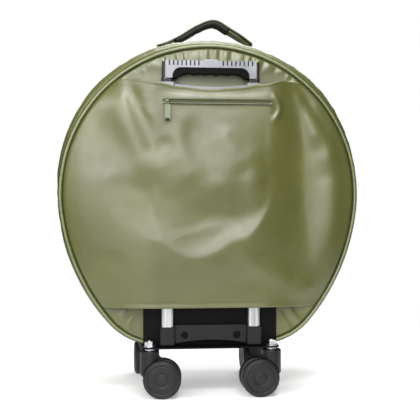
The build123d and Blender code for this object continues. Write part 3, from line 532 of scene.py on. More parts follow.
def makeOutline(steps=4000):
    # the rim as arcs end to end: half the foot, a corner, a flank, the round top, and the same again mirrored
    start = math.radians(bag["flankStart"])
    flank = bagRadius + bag["flankExtra"]
    corner = bag["cornerRadius"]
    flankX = -bag["flankExtra"] * math.cos(start)
    flankZ = bagMiddle + bag["flankExtra"] * math.sin(start)
    drop = flankZ - bagFoot - corner
    beta = math.asin(drop / (flank - corner))
    cornerX = flankX + (flank - corner) * math.cos(beta)
    cornerZ = bagFoot + corner
    arcs = [
        (cornerX, cornerZ, corner, -math.pi / 2, -beta),
        (flankX, flankZ, flank, -beta, -start),
        (0.0, bagMiddle, bagRadius, -start, math.pi + start),
        (-flankX, flankZ, flank, math.pi + start, math.pi + beta),
        (-cornerX, cornerZ, corner, math.pi + beta, 1.5 * math.pi),
    ]
    xs, zs, turns = [np.linspace(0, cornerX, 60)], [np.full(60, bagFoot)], [np.full(60, -math.pi / 2)]
    for x, z, radius, a, b in arcs:
        turn = np.linspace(a, b, 900)
        xs.append(x + radius * np.cos(turn))
        zs.append(z + radius * np.sin(turn))
        turns.append(turn)
    xs.append(np.linspace(-cornerX, 0, 60))
    zs.append(np.full(60, bagFoot))
    turns.append(np.full(60, 1.5 * math.pi))
    x, z, turn = np.concatenate(xs), np.concatenate(zs), np.concatenate(turns)
    run = np.concatenate([[0], np.cumsum(np.hypot(np.diff(x), np.diff(z)))])
    return x, z, turn, run, cornerX


outX, outZ, outTurn, outRun, footHalf = makeOutline()
rimLength = outRun[-1]


def rimAt(s, offset=0.0):
    # the point at share s of the way round from the foot's middle, moved out along its normal
    at = np.asarray(s) * rimLength
    turn = np.interp(at, outRun, outTurn)
    x = np.interp(at, outRun, outX) + offset * np.cos(turn)
    z = np.interp(at, outRun, outZ) + offset * np.sin(turn)
    return x, z, turn


def halfWidth(z, offset=0.0):  # the rim's half width at a height, on the right side
    s = np.linspace(0.0, 0.5, 1500)
    x, high, _ = rimAt(s, offset)
    return np.interp(z, high, x)


# gusset

gusset = {"around": 560, "deep": 44, "sides": 0.004, "top": 0.008, "shoulder": 0.0055, "run": 0.034,
          "wall": 0.0068,
          "cloth": {"stiff": 4.0, "spare": 0.008, "pressure": 0.5, "cap": 0.0020, "even": 6}}
gussetBack, gussetFront = gussetLow.y - panelY, gussetHigh.y - panelY
strapLow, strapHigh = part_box("carry_handle_strap")
anchorLow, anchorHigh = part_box("handle_anchors")
carryMiddle = (strapLow.y + strapHigh.y) / 2 - panelY
carrySpread = 0.098  # from the middle to each end of the carry handle


def swellAt(turn, v):
    # how far the fabric stands out: fullest on the shoulders near the rear rim, least at the sides
    up = np.clip(np.sin(turn), 0, None)
    shoulder = gusset["shoulder"] * np.sin(2 * turn) ** 2 * (up > 0) * (1 - smooth(0.07, 0.13, v))
    return gusset["sides"] + gusset["top"] * up + shoulder


def gussetSkin(s, v, inward=0.0):
    # rim point plus swell; the swell rises from nothing at each rim, with small gathers by the seams
    fromRim = np.minimum(v - gussetBack, gussetFront - v)
    rise = np.sqrt(np.clip(1 - (1 - np.clip(fromRim / gusset["run"], 0, 1)) ** 2, 0, 1))
    _, _, turn = rimAt(s)
    run = s * rimLength
    gathers = 0.0007 * ripple(run, 4, 0.034) * hump(fromRim, 0.014, 0.010)
    soft = 0.0012 * lumps(run, v, 9, 0.16) * smooth(0.0, 0.05, fromRim)
    out = swellAt(turn, v) * rise + (gathers + soft) * smooth(-0.6, 0.2, np.sin(turn)) - inward
    x, z, _ = rimAt(s, out)
    z = np.maximum(z, bagFoot + inward)
    return pointsAt(x, panelY + v, z)


def outwardAt(s):  # the rim's outward direction
    _, _, turn = rimAt(s)
    return pointsAt(np.cos(turn), 0, np.sin(turn))


def topShare(x):  # the share of the way round at which the rim's top passes over x
    s = np.linspace(0.36, 0.64, 900)
    along, _, _ = rimAt(s)
    return np.interp(-np.asarray(x), -along, s)


def makeGusset():
    # the skin outside, and inside it a plain wall, joined into a closed band
    s = np.linspace(0, 1, gusset["around"], endpoint=False)
    v = np.linspace(gussetBack, gussetFront, gusset["deep"])
    s, v = grid(s, v)
    outside = gussetSkin(s, v)
    fromRim = np.minimum(v - gussetBack, gussetFront - v)
    sewnOn = (np.abs(np.abs(outside[..., 0]) - carrySpread) < 0.036) & (outside[..., 2] > bagMiddle)
    sewnOn = sewnOn & (np.abs(v - carryMiddle) < 0.024)
    held = np.where(sewnOn | (outside[..., 2] < bagFoot + 0.006), 1.0, 1 - smooth(0.006, 0.02, fromRim))
    outside = relax(outside, held, gusset["cloth"], closedRows=True)
    inside = gussetSkin(s[:, ::3], v[:, ::3], gusset["wall"])
    ring = np.concatenate([outside, inside[:, ::-1]], 1)
    return addGrid("gusset_cloth", ring, closedRows=True, closedColumns=True, flip=True)


gussetCloth = makeGusset()
place(gussetCloth, "bag", "coated_fabric", clothOlive, "gusset")
seamShares = np.linspace(0, 1, 1600)
seamRows = [(gussetSkin(seamShares, np.full_like(seamShares, v)), outwardAt(seamShares))
            for v in (gussetBack + 0.0065, gussetFront - 0.0065)]
place(sew("gusset_stitches", seamRows), "bag", "zip_tape", threadOlive)
print("gusset done")

# piping

piping = {"radius": 0.0033, "around": 720, "sides": 14}


def makePiping(name, low, high, body, node):
    # a cord just inside the rim that wanders and thickens a little
    s = np.linspace(0, 1, piping["around"], endpoint=False)
    wander = 0.00022 * ripple(s * rimLength, 21, 0.11)
    x, z, _ = rimAt(s, -0.0035 + wander)
    y = (low.y + high.y) / 2
    thick = piping["radius"] + 0.00012 * ripple(s * rimLength, 22, 0.02)
    piece = tubeAlong(name, pointsAt(x, y, z), thick, piping["sides"])
    return place(piece, body, "piping", pipingOlive, node)


def makeSeamShade(name, y, offset, body):
    # a dark line along the seam in the groove beside the cord: painted shade of the groove
    s = np.linspace(0, 1, piping["around"], endpoint=False)
    x, z, _ = rimAt(s, offset)
    place(tubeAlong(name, pointsAt(x, y, z), 0.0010, 8), body, "zip_tape", paintedGrooveShade)


makePiping("rear_piping_roll", rimLow, rimHigh, "bag", "rear_piping")
makePiping("front_piping_roll", lidLow, lidHigh, "lid", "front_piping")
# dark lines in the grooves each side of the piping cords: painted shade
makeSeamShade("rear_inner_seam_shade", panelY - 0.0002, -0.0072, "bag")
makeSeamShade("rear_outer_seam_shade", panelY + 0.0034, 0.0004, "bag")
makeSeamShade("front_inner_seam_shade", lidHigh.y - 0.0022, -0.0072, "lid")
print("piping done")

# back panel

backPanel = {"around": 400, "rings": 70, "gather": 0.0054, "edge": 0.0072, "groove": 0.0022,
             "cloth": {"stiff": 2.0, "spare": 0.008, "pressure": 0.3, "cap": 0.0014, "even": 3}}


def panelDisc(share, s, offset):
    # rings that shrink from the rim to the middle
    x, z, turn = rimAt(s, offset)
    middle = bagMiddle - 0.02
    return x * share, middle + (z - middle) * share, turn


def makeBackPanel():
    # a disc with pleats under its top edge, slack over its foot and a groove along the rim
    s = np.linspace(0, 1, backPanel["around"], endpoint=False)
    share = 1 - np.linspace(0, 1, backPanel["rings"]) ** 1.7 * 0.9995
    s, share = grid(s, share)
    x, z, turn = panelDisc(share, s, -backPanel["edge"])
    fromRim = (1 - share) * bagRadius
    along = turn * 0.3
    pleats = np.abs(np.sin(np.pi * (along + 0.006 * ripple(along, 30, 0.09)) / 0.0235)) ** 0.8 - 0.70
    pleats = pleats * (0.75 + 0.45 * ripple(along, 31, 0.075, 3))
    top = smooth(0.60, 0.9, np.sin(turn))
    out = 0.0022 * smooth(0.0, 0.02, fromRim) * (1 - smooth(0.05, 0.12, fromRim))
    pleats = backPanel["gather"] * pleats * top * smooth(0.0, 0.008, fromRim)
    out = out + pleats * (1 - smooth(0.022, 0.062, fromRim))
    corner = smooth(0.3, 0.9, -np.sin(turn)) * hump(fromRim, 0.03, 0.03)
    out = out + 0.0026 * ripple(along, 33, 0.075) * corner
    out = out + 0.0008 * lumps(x, z, 35, 0.12)
    out = out - backPanel["groove"] * (1 - smooth(0.0, 0.005, fromRim))
    front = pointsAt(x, panelY - out, z)
    front = relax(front, 1 - smooth(0.008, 0.03, fromRim), backPanel["cloth"], closedRows=True)
    out = np.minimum(panelY - front[..., 1], 0.0031)
    behind = smooth(0.17, 0.15, np.abs(front[..., 0])) * smooth(0.668, 0.636, front[..., 2])
    front[..., 1] = panelY - np.minimum(out, 0.0004 + 0.0027 * (1 - behind))
    rear = pointsAt(x, panelHigh.y - 0.0004, z)[:, ::3]
    both = np.concatenate([rear[:, ::-1], front], 1)
    return shell("back_panel_cloth", both.transpose(1, 0, 2))


backCloth = place(makeBackPanel(), "bag", "coated_fabric", clothOlive, "back_panel")
print("back panel done")

# lid

lidPanelLow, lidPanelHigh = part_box("lid_panel")
lid = {"around": 380, "rings": 64, "edge": 0.0074, "round": 0.005, "domeRun": 0.075,
       "cloth": {"stiff": 4.0, "spare": 0.010, "pressure": 1.2, "cap": 0.004, "even": 8}}


def makeLid():
    # a dome: it rises round the edge, then climbs slowly to its full height
    s = np.linspace(0, 1, lid["around"], endpoint=False)
    share = 1 - np.linspace(0, 1, lid["rings"]) ** 1.5 * 0.9995
    s, share = grid(s, share)
    x, z, turn = panelDisc(share, s, -lid["edge"])
    fromRim = (1 - share) * bagRadius
    full = lidPanelHigh.y - 0.0016
    edgeY = lidPanelLow.y + 0.0085
    bend = np.clip(fromRim / lid["round"], 0, 1)
    y = edgeY - lid["round"] * (1 - np.sqrt(np.clip(1 - (1 - bend) ** 2, 0, 1))) * 0.9
    y = y + (full - edgeY) * np.sin(np.pi / 2 * np.clip(fromRim / lid["domeRun"], 0, 1)) ** 0.9
    gathers = 0.0010 * ripple(turn * 0.3, 61, 0.03, 3) * hump(fromRim, 0.018, 0.016)
    y = y + gathers + 0.0010 * lumps(x, z, 62, 0.16) * smooth(0.02, 0.06, fromRim) - 0.001
    front = relax(pointsAt(x, y, z), 1 - smooth(0.004, 0.02, fromRim), lid["cloth"], closedRows=True)
    front[..., 1] = np.minimum(front[..., 1], lidPanelHigh.y + 0.0008)
    rear = pointsAt(x, lidPanelLow.y + 0.0004, z)[:, ::3]
    return shell("lid_cloth", np.concatenate([rear[:, ::-1], front], 1).transpose(1, 0, 2))


lidCloth = place(makeLid(), "lid", "coated_fabric", clothOlive, "lid_panel")
print("lid done")

# linings: quilted on the bag's walls, its rear and the lid

quilt = {"pitch": 0.062, "height": 0.0020, "thick": 0.0009}


def quilted(a, b):
    # diamonds: two crossed waves, zero along the sewn lines and full between them
    p = quilt["pitch"]
    return quilt["height"] * np.sqrt(np.abs(np.sin(np.pi * (a + b) / p) * np.sin(np.pi * (a - b) / p)))


def makeBagLining():
    # the gusset's skin moved inward and quilted, closed behind by a quilted disc
    s = np.linspace(0, 1, 420, endpoint=False)
    v = np.linspace(gussetFront - 0.0004, panelHigh.y - panelY + 0.0006, 46)
    sv, vv = grid(s, v)
    calm = smooth(0, 0.02, vv - v[-1]) * smooth(0, 0.012, gussetFront - vv)
    walls = gussetSkin(sv, vv, gusset["wall"] + 0.0007 + quilted(sv * rimLength, vv) * calm)
    share = 1 - np.linspace(0.02, 1, 62) * 0.9995
    sd, share = grid(s, share)
    x, z, _ = panelDisc(share, sd, -gusset["wall"] - 0.0009)
    disc = pointsAt(x, panelHigh.y + 0.0006 + quilted(x, z) * smooth(0.0, 0.03, 1 - share), z)
    piece = shell("bag_lining_cloth", np.concatenate([walls, disc], 1).transpose(1, 0, 2), (False, True), True)
    modify(piece, "SOLIDIFY", thickness=quilt["thick"], offset=1.0)
    return settle(piece)


def makeLidLining():
    # a quilted disc behind the lid
    lowest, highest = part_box("lid_lining")
    s = np.linspace(0, 1, 300, endpoint=False)
    share = 1 - np.linspace(0.0, 1, 70) * 0.9995
    s, share = grid(s, share)
    x, z, _ = panelDisc(share, s, highest.x - bagRadius)
    y = highest.y - 0.0002 - quilted(x, z) * smooth(0.0, 0.03, 1 - share) * 0.7
    piece = shell("lid_lining_cloth", pointsAt(x, y, z).transpose(1, 0, 2), (False, True), False)
    modify(piece, "SOLIDIFY", thickness=quilt["thick"], offset=1.0)
    return settle(piece)


bagLining = place(makeBagLining(), "bag", "lining", liningDark, "bag_lining")
lidLining = place(makeLidLining(), "lid", "lining", liningDark, "lid_lining")
print("linings done")

# main zip: two tapes with their teeth round the rim, and a fabric hinge at the foot

mainZip = {"pitch": 0.0026, "tooth": 0.0022, "thick": 0.00055, "proud": 0.0012}
hingeLow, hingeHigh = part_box("hinge_tape")


def zipShares():
    # the stretch of the rim that the zip runs along: all but the foot
    lowest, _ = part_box("main_zip_lid_side")
    s = np.linspace(0, 1, 3000)
    _, z, _ = rimAt(s, -0.004)
    zipped = s[z > lowest.z + 0.0012]
    return np.linspace(zipped[0], zipped[-1], 1500)


def makeMainTape(name, node, body):
    # a band that follows the rim, lowest along its middle
    lowest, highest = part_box(node)
    s = zipShares()
    across = np.linspace(lowest.y, highest.y, 7)
    s, y = grid(s[::2], across)
    middle = (lowest.y + highest.y) / 2
    offset = -0.0052 + 0.0016 * np.abs(y - middle) / (highest.y - lowest.y)
    x, z, _ = rimAt(s, offset)
    piece = addGrid(name, pointsAt(x, y, z))
    modify(piece, "SOLIDIFY", thickness=0.0011, offset=0.0)
    return place(settle(piece), body, "zip_tape", zipTape, node)


def makeTeeth(name, y, step, body):
    # short teeth across the rim, at even steps along it
    s = zipShares()
    x, z, turn = rimAt(s, -0.0032)
    run = s * rimLength
    at = np.arange(run[0] + mainZip["pitch"] * (1 + step), run[-1], mainZip["pitch"])
    px, pz, pt = (np.interp(at, run, a) for a in (x, z, turn))
    up = pointsAt(np.cos(pt), 0, np.sin(pt))
    ahead = np.tile([0.0, 1.0, 0.0], (len(at), 1))
    h, r = mainZip["tooth"] / 2, mainZip["thick"]
    unit = spindle([-h, -h * 0.75, h * 0.75, h], [0, r, r, 0], 6)
    spots = pointsAt(px, y, pz)
    return place(strew(name, unit, spots, ahead, up), body, "zip_coil", zipTape)


tapeY = (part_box("main_zip_gusset_side")[1].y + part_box("main_zip_lid_side")[0].y) / 2
makeMainTape("bag_zip_tape", "main_zip_gusset_side", "bag")
makeMainTape("lid_zip_tape", "main_zip_lid_side", "lid")
makeTeeth("bag_zip_teeth", tapeY - 0.0014, 0.0, "bag")
makeTeeth("lid_zip_teeth", tapeY + 0.0014, 0.5, "lid")


def makeHinge():
    # a strip folded under the lid's edge, from the gusset's rim to the lid's
    x = np.linspace(hingeLow.x, hingeHigh.x, 90)
    t = np.linspace(0, 1, 15)
    x, t = grid(x, t)
    y = tapeY - 0.0056 + 0.0112 * t
    z = hingeLow.z + 0.0032 - 0.0016 * np.sin(np.pi * t) + 0.0003 * ripple(x, 71, 0.04)
    piece = addGrid("lid_hinge_cloth", pointsAt(x, y, z))
    modify(piece, "SOLIDIFY", thickness=0.0014, offset=0.0)
    place(settle(piece), None, "zip_tape", zipTape, "hinge_tape")
    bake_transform(piece)


makeHinge()
print("main zip done")

# sleeve

sleeveLow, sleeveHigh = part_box("sleeve")
tapeLow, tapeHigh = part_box("pocket_zip_tape")
sleeve = {"across": 214, "tall": 186, "thick": 0.0022, "dip": 0.019, "edge": 0.0072, "half": 0.141,
          "groove": 0.0022,
          "cloth": {"stiff": 12.0, "spare": 0.002, "pressure": 0.15, "cap": 0.0008, "even": 60}}
sleeveFace = panelY - sleeveLow.y  # how far it stands out from the panel over the handle
zipMiddle = ((tapeLow.x + tapeHigh.x) / 2, (tapeLow.z + tapeHigh.z) / 2)


def sleeveTop(x):  # the top edge: level at the sides and dipping over the handle
    reach = sleeve["half"]
    sag = sleeve["dip"] * (1 - np.clip(x / reach, -1, 1) ** 2)
    return sleeveHigh.z - sag + 0.0015 * ripple(x, 41, 0.12)


def fold(x, z, a, b, width, height, skew=0.0):
    # a ridge, or a valley where height is negative, along the line from a to b, fading at its ends
    along = np.array([b[0] - a[0], b[1] - a[1]])
    length = float(np.hypot(*along))
    along = along / length
    t = (x - a[0]) * along[0] + (z - a[1]) * along[1]
    d = -(x - a[0]) * along[1] + (z - a[1]) * along[0]
    w = width * (1 + skew * np.clip(t / length, 0, 1))
    ends = smooth(-0.15 * length, 0.2 * length, t) * (1 - smooth(0.8 * length, 1.15 * length, t))
    return height * np.exp(-((d / w) ** 2)) * ends


sleeveFolds = [  # from, to, width, height, widening; x and z in metres from the bag's axis and the floor
    ((0.212, 0.590), (0.248, 0.455), 0.022, 0.0060, 0.6),
    ((0.252, 0.450), (0.262, 0.230), 0.032, 0.0044, 0.3),
    ((0.172, 0.608), (0.214, 0.502), 0.011, 0.0048, 0.5),
    ((0.194, 0.600), (0.241, 0.522), 0.009, -0.0034, 0.5),
    ((0.064, 0.272), (0.213, 0.200), 0.020, 0.0030, 0.3),
    ((-0.164, 0.613), (-0.098, 0.474), 0.015, -0.0066, 1.2),
    ((-0.193, 0.603), (-0.125, 0.435), 0.019, 0.0042, 0.9),
    ((-0.127, 0.570), (-0.093, 0.502), 0.011, 0.0028, 0.9),
    ((-0.187, 0.531), (-0.105, 0.339), 0.028, -0.0042, 0.8),
    ((-0.240, 0.570), (-0.211, 0.445), 0.022, -0.0034, 0.6),
    ((-0.042, 0.540), (0.010, 0.420), 0.020, -0.0030, 1.2),
    ((-0.076, 0.524), (-0.038, 0.426), 0.016, 0.0024, 1.0),
    ((0.020, 0.527), (0.068, 0.455), 0.016, 0.0026, 1.0),
    ((-0.257, 0.220), (-0.202, 0.167), 0.010, -0.0016, 0.2),
    ((0.251, 0.229), (0.203, 0.169), 0.010, -0.0016, 0.2),
]
pocketEdge = [(-0.124, 0.344), (-0.100, 0.311), (-0.071, 0.284), (-0.036, 0.271), (0.004, 0.280), (0.040, 0.301),
              (0.073, 0.315), (0.096, 0.336), (0.121, 0.378)]  # the pouch's lower edge, seen through the cloth


def pocketBulge(x, z):
    # the filled pouch behind the cloth: a swell, a hollow under it, and a broad ridge along its lower edge
    edge = through(pocketEdge, x)
    d = z - edge
    inside = smooth(-0.150, -0.015, x) * (1 - smooth(0.070, 0.142, x))
    crest = np.where(d > 0, np.exp(-((d / 0.025) ** 2)), np.exp(-((d / 0.058) ** 2)))
    swell = hump(x, 0.030, 0.090) * np.where(z > 0.43, hump(z, 0.43, 0.095), hump(z, 0.43, 0.042))
    hollow = hump(x, 0.014, 0.060) * hump(z, 0.356, 0.024)
    side = 0.0040 * hump(x, 0.088, 0.024) * hump(z, 0.41, 0.09)
    return inside * (0.0086 * crest + 0.0090 * swell - 0.0034 * hollow) + side


def sleeveBase(x, z):
    # the share of its full stand-off: long and round on the left; on the right a steep fall and a low swell
    rim = halfWidth(z, -sleeve["edge"])
    left = np.sin(np.clip((rim + x) / np.maximum(rim - 0.104, 0.02), 0, 1) * np.pi / 2) ** 0.8
    lower = smooth(0.42, 0.2, z)
    fall = smooth(0.114 - 0.020 * lower, 0.192 + 0.020 * lower, x)
    right = 1 - (0.86 - 0.24 * lower) * fall + 0.21 * hump(x, 0.260, 0.042)
    right = right * np.sin(np.clip((rim - x) / 0.07, 0, 1) * np.pi / 2)
    return np.where(x < 0, left, right)


def sleeveOut(x, z):
    # how far the sleeve stands out from the panel: its base, the pocket and the folds, quiet along the zip
    rim = halfWidth(z, -sleeve["edge"])
    fromRim = rim - np.abs(x)
    total = pocketBulge(x, z)
    for a, b, width, height, skew in sleeveFolds:
        total = total + fold(x, z, a, b, width, height, skew)
    total = total + 0.0007 * lumps(x, z, 51, 0.17) + 0.00008 * lumps(x, z, 52, 0.05)
    total = total - 0.0018 * smooth(0.31, 0.18, z) * smooth(0.26, 0.06, np.abs(x))
    along = smooth(-0.150, -0.104, x) * (1 - smooth(0.122, 0.146, x))
    zipBand = np.clip(1.5 * hump(z, zipMiddle[1], 0.017), 0, 1) * along
    curl = np.exp(-(((np.hypot(x - 0.116, (z - 0.570) * 0.9) - 0.021) / 0.0060) ** 2)) * smooth(0.116, 0.130, x)
    lean = 0.0046 * smooth(0.587, 0.608, z) * smooth(0.13, 0.06, np.abs(x - 0.010))
    total = total * (1 - zipBand) + 0.0034 * curl - lean
    limit = -0.0052 - 0.03 * smooth(0.106, 0.18, np.abs(x))
    total = limit + 0.0012 * np.logaddexp(0, (total - limit) / 0.0012)
    out = sleeveFace * sleeveBase(x, z) + total * smooth(0.0, 0.045, fromRim)
    return out - sleeve["groove"] * (1 - smooth(0.0, 0.009, fromRim))


def makeSleeve():
    # a curtain between the rim's sides, stood out by sleeveOut and settled, with thicker hems
    u = np.linspace(-1, 1, sleeve["across"])
    t = np.linspace(0, 1, sleeve["tall"])
    u, t = grid(u, t)
    z = sleeveLow.z + t * (sleeveHigh.z - sleeveLow.z)
    for _ in range(3):
        x = u * halfWidth(z, -sleeve["edge"])
        z = sleeveLow.z + t * (sleeveTop(x) - sleeveLow.z)
    flat = pointsAt(x, panelY - sleeveOut(x, z), z)
    nearZip = smooth(0.022, 0.012, np.abs(z - zipMiddle[1])) * smooth(0.15, 0.135, np.abs(x - zipMiddle[0]))
    held = np.maximum(smooth(0.986, 0.999, np.abs(u)), nearZip)
    held = np.maximum(held, np.maximum(smooth(0.03, 0.0, t), smooth(0.97, 1.0, t)))
    points = relax(flat, held, sleeve["cloth"])
    limit = panelY - sleeveFace + 0.0032 + 0.05 * smooth(0.110, 0.16, np.abs(points[..., 0]))
    points[..., 1] = limit - 0.0008 * np.logaddexp(0, (limit - points[..., 1]) / 0.0008)
    hem = 0.0010 * (smooth(0.020, 0.004, t) + smooth(0.984, 0.997, t))
    points[..., 1] = points[..., 1] - hem * smooth(1.0, 0.97, np.abs(u))
    piece = addGrid("sleeve_cloth", points)
    edges = np.linalg.norm(np.diff(points, axis=0), axis=-1).sum(0)
    tall = np.linalg.norm(np.diff(points, axis=1), axis=-1).sum(1)
    du, dt = np.gradient(points, axis=0), np.gradient(points, axis=1)
    spread = float(np.linalg.norm(np.cross(du, dt), axis=-1).sum())
    spread = spread * (1 - 1 / sleeve["across"]) * (1 - 1 / sleeve["tall"])
    modify(piece, "SOLIDIFY", thickness=sleeve["thick"], offset=-1.0)
    return settle(piece), points, (float(edges.max()), float(tall.max())), spread


sleeveCloth, sleevePoints, sleeveFlat, sleeveArea = makeSleeve()
place(sleeveCloth, "bag", "coated_fabric", clothOlive, "sleeve")


def sleeveRow(column):  # a line across the sleeve at one row of its grid, with the way its stitches stand
    line = sleevePoints[3:-3, column]
    around = np.gradient(sleevePoints, axis=0)[3:-3, column]
    upward = np.gradient(sleevePoints, axis=1)[3:-3, column]
    return line, unitOf(np.cross(around, upward))


hemRows = [sleeveRow(5), sleeveRow(sleeve["tall"] - 6)]
hemStitches = place(sew("sleeve_stitches", hemRows), "bag", "zip_tape", threadOlive)
print("sleeve done", sleeveFlat, round(sleeveArea, 4))

# pocket: its lining, zip tape, teeth, slider and pull

pocket = {"gap": 0.0009, "toothPitch": 0.0016, "toothLong": 0.0034, "toothThick": 0.00062}
coilLow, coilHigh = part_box("pocket_zip_coil")
sliderLow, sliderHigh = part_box("pocket_slider")
pullLow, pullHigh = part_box("pocket_pull")


def makePocketLining():
    # a sheet that lies just behind the sleeve
    lowest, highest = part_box("pocket_lining")
    x = np.linspace(lowest.x, 0.104, 60)
    z = np.linspace(lowest.z, highest.z, 60)
    x, z = grid(x, z)
    out = np.minimum(sleeveOut(x, z), sleeveFace) - 0.0031
    piece = addGrid("pocket_lining_cloth", pointsAt(x, panelY - out, z))
    modify(piece, "SOLIDIFY", thickness=0.0006, offset=-1.0)
    return place(settle(piece), "bag", "lining", liningDark, "pocket_lining")


def makePocketTape():
    # a flat tape with a rolled edge on each side, a sewn groove inside it and a low channel in the middle
    x = np.linspace(tapeLow.x, tapeHigh.x, 200)
    across = np.linspace(-1, 1, 41)
    x, a = grid(x, across)
    half = (tapeHigh.z - tapeLow.z) / 2
    rise = 0.0008 + 0.0005 * hump(np.abs(a), 0.93, 0.06) - 0.0006 * hump(np.abs(a), 0.80, 0.05)
    rise = rise + 0.0004 * hump(np.abs(a), 0.55, 0.12) - 0.0007 * hump(a, 0, 0.22)
    z = zipMiddle[1] + a * half + 0.00012 * ripple(x, 81, 0.03)
    piece = addGrid("pocket_zip_band", pointsAt(x, tapeHigh.y - rise, z))
    modify(piece, "SOLIDIFY", thickness=0.0008, offset=-1.0)
    return place(settle(piece), "bag", "coated_fabric", clothOlive, "pocket_zip_tape")


def makePocketTeeth():
    # teeth that lean by turns to either side of the zip's middle
    x = np.arange(coilLow.x, coilHigh.x, pocket["toothPitch"])
    up = np.tile([0.0, -1.0, 0.0], (len(x), 1))
    lean = np.where(np.arange(len(x)) % 2 == 0, 1.0, -1.0)
    ahead = unitOf(pointsAt(np.full_like(x, 0.12), 0, 1))
    h, r = pocket["toothLong"] / 2, pocket["toothThick"]
    unit = spindle([-h, -h * 0.8, 0, h * 0.8, h], [0, r, r * 0.7, r, 0], 6)
    spots = pointsAt(x, (coilLow.y + coilHigh.y) / 2, zipMiddle[1] + 0.0007 * lean)
    piece = strew("pocket_zip_teeth", unit, spots, ahead, up)
    return place(piece, "bag", "zip_coil", zipTape, "pocket_zip_coil")


def makePocketSlider():
    # a rounded body, pinched at its mouth, and an arched bridge over it that holds the pull
    x, z = (sliderLow.x + sliderHigh.x) / 2, (sliderLow.z + sliderHigh.z) / 2
    half, tall = (sliderHigh.x - sliderLow.x) / 2, (sliderHigh.z - sliderLow.z) / 2
    back = sliderHigh.y
    loops = puck(half, tall, 0.0022, softPad(tall, 0.0030, 0.0010))
    loops[..., 2] *= 1 - 0.22 * smooth(0.0, half, loops[..., 0])
    body = shell("body", loops + np.array([x, back - 0.0018, z]))
    t = np.linspace(0, np.pi, 18)
    path = pointsAt(x - 0.0036 * np.cos(t), back - 0.0030 - 0.0030 * np.sin(t), z)
    arch = tubeAlong("arch", path, 0.0008 + 0.0005 * np.abs(np.cos(t)), 10, closed=False)
    piece = join("pocket_slider_body", body, arch)
    return place(piece, "pocket_slider", "slider_metal", sliderPaint, "pocket_slider")


def makePull(name, halfX, halfZ, spot, body, node, eye=0.0075):
    # a flat tab with a raised border, a black tip at its foot and a ring that hangs on the slider's bridge
    face = [(halfX * k, -0.0008) for k in (0.99, 0.6, 0.32)]
    face = face + [(0.0016, -0.0008), (0.0012, -0.0014), (0.0004, -0.0014)]
    rim = [(0.0, -0.0009), (0.0, 0.0009), (0.0004, 0.0013), (0.0016, 0.0013)]
    rim = rim + [(halfX * k, 0.0012) for k in (0.3, 0.6, 0.99)]
    loops = puck(halfX, halfZ, 0.0012, face + rim)
    loops[..., 2] -= halfZ + eye * 0.72
    tab = shell("tab", loops + np.array(spot))
    tip = puck(halfX * 0.62, 0.0024, 0.0008, softPad(0.0024, 0.0034, 0.0004))
    tip[..., 2] -= 2 * halfZ + eye * 0.72 - 0.0016
    place(shell(name + "_tip", tip + np.array(spot)), body, "black_plastic", blackPlastic)
    t = np.linspace(0, 2 * np.pi, 30, endpoint=False)
    ring = pointsAt(0.0021 * np.cos(t), 0, -eye * 0.45 + eye * 0.55 * np.sin(t))
    loop = tubeAlong("loop", ring + np.array(spot), 0.0007, 8)
    return place(join(name, tab, loop), body, "zip_tape", pullOlive, node)


makePocketLining()
makePocketTape()
makePocketTeeth()
makePocketSlider()
pullX = (pullLow.x + pullHigh.x) / 2
makePull("pocket_pull_tab", (pullHigh.x - pullLow.x) / 2, 0.0155,
         (pullX, (pullLow.y + pullHigh.y) / 2, pullHigh.z - 0.0022), "pocket_pull", "pocket_pull")
bandX = np.linspace(tapeLow.x + 0.002, tapeHigh.x - 0.002, 60)
forward = np.tile([0.0, -1.0, 0.0], (60, 1))
bandRows = [(pointsAt(bandX, tapeHigh.y - 0.0008, zipMiddle[1] + side * 0.0052), forward) for side in (-1, 1)]
place(sew("pocket_zip_stitches", bandRows, 0.0032, 0.0022, 0.00026), "bag", "zip_tape", threadOlive)
# dark lines along both edges of the zip's channel: painted shade
for side in (-1, 1):
    edgeX = np.linspace(tapeLow.x + 0.001, tapeHigh.x - 0.001, 80)
    edge = pointsAt(edgeX, tapeHigh.y - 0.0009, zipMiddle[1] + side * 0.0038)
    place(tubeAlong("pocket_zip_channel_shade", edge, 0.00075, 8, closed=False), "bag", "zip_tape", paintedGrooveShade)
print("pocket done")

# carry handle: strap over a padded wrap, and the patches it is sewn to

carry = {"thick": 0.003, "grip": 0.0092, "wide": 0.038, "narrow": 0.016, "taper": 0.036,
         "wrap": (-0.066, 0.054), "tail": (0.050, 0.1015), "patch": (0.0278, 0.0168), "ear": 0.0078,
         "rises": [(-0.104, 0.011), (-0.080, 0.017), (-0.052, 0.031), (-0.018, 0.052), (0.022, 0.0640),
                   (0.052, 0.0480), (0.078, 0.0325), (0.096, 0.0215), (0.104, 0.0165)]}
carryPivot = anchorHigh.z - 0.0035
carryY = (strapLow.y + strapHigh.y) / 2


def carryLine(x):
    return through(carry["rises"], x)


def carryWidth(x):
    # half the strap's width: full in the middle and narrow at its sewn ends
    more = (carry["wide"] - carry["narrow"]) / 2
    return carry["narrow"] / 2 + more * smooth(0.106, 0.106 - carry["taper"], np.abs(x))


def carryBand(name, x, low, high, grow, corner, count=44):
    # a rounded slab carried along the strap's line, between two heights over it
    z = carryPivot + carryLine(x)
    slope = np.gradient(z, x)
    normal = unitOf(np.stack([-slope, np.ones_like(x)], -1))
    rings = []
    ends = np.minimum(1, np.minimum(np.arange(len(x)), np.arange(len(x))[::-1]) / 3.0)
    for k in range(len(x)):
        lo, hi, half = low[k], high[k], carryWidth(x[k]) + grow
        middle, tall = (lo + hi) / 2, (hi - lo) / 2
        loop = roundedLoop(half, tall, corner, count) * (0.25 + 0.75 * math.sqrt(ends[k]) if ends[k] < 1 else 1)
        out = middle + loop[:, 1]
        rings.append(np.stack([x[k] + normal[k, 0] * out, carryY + loop[:, 0], z[k] + normal[k, 1] * out], -1))
    return shell(name, np.stack(rings))


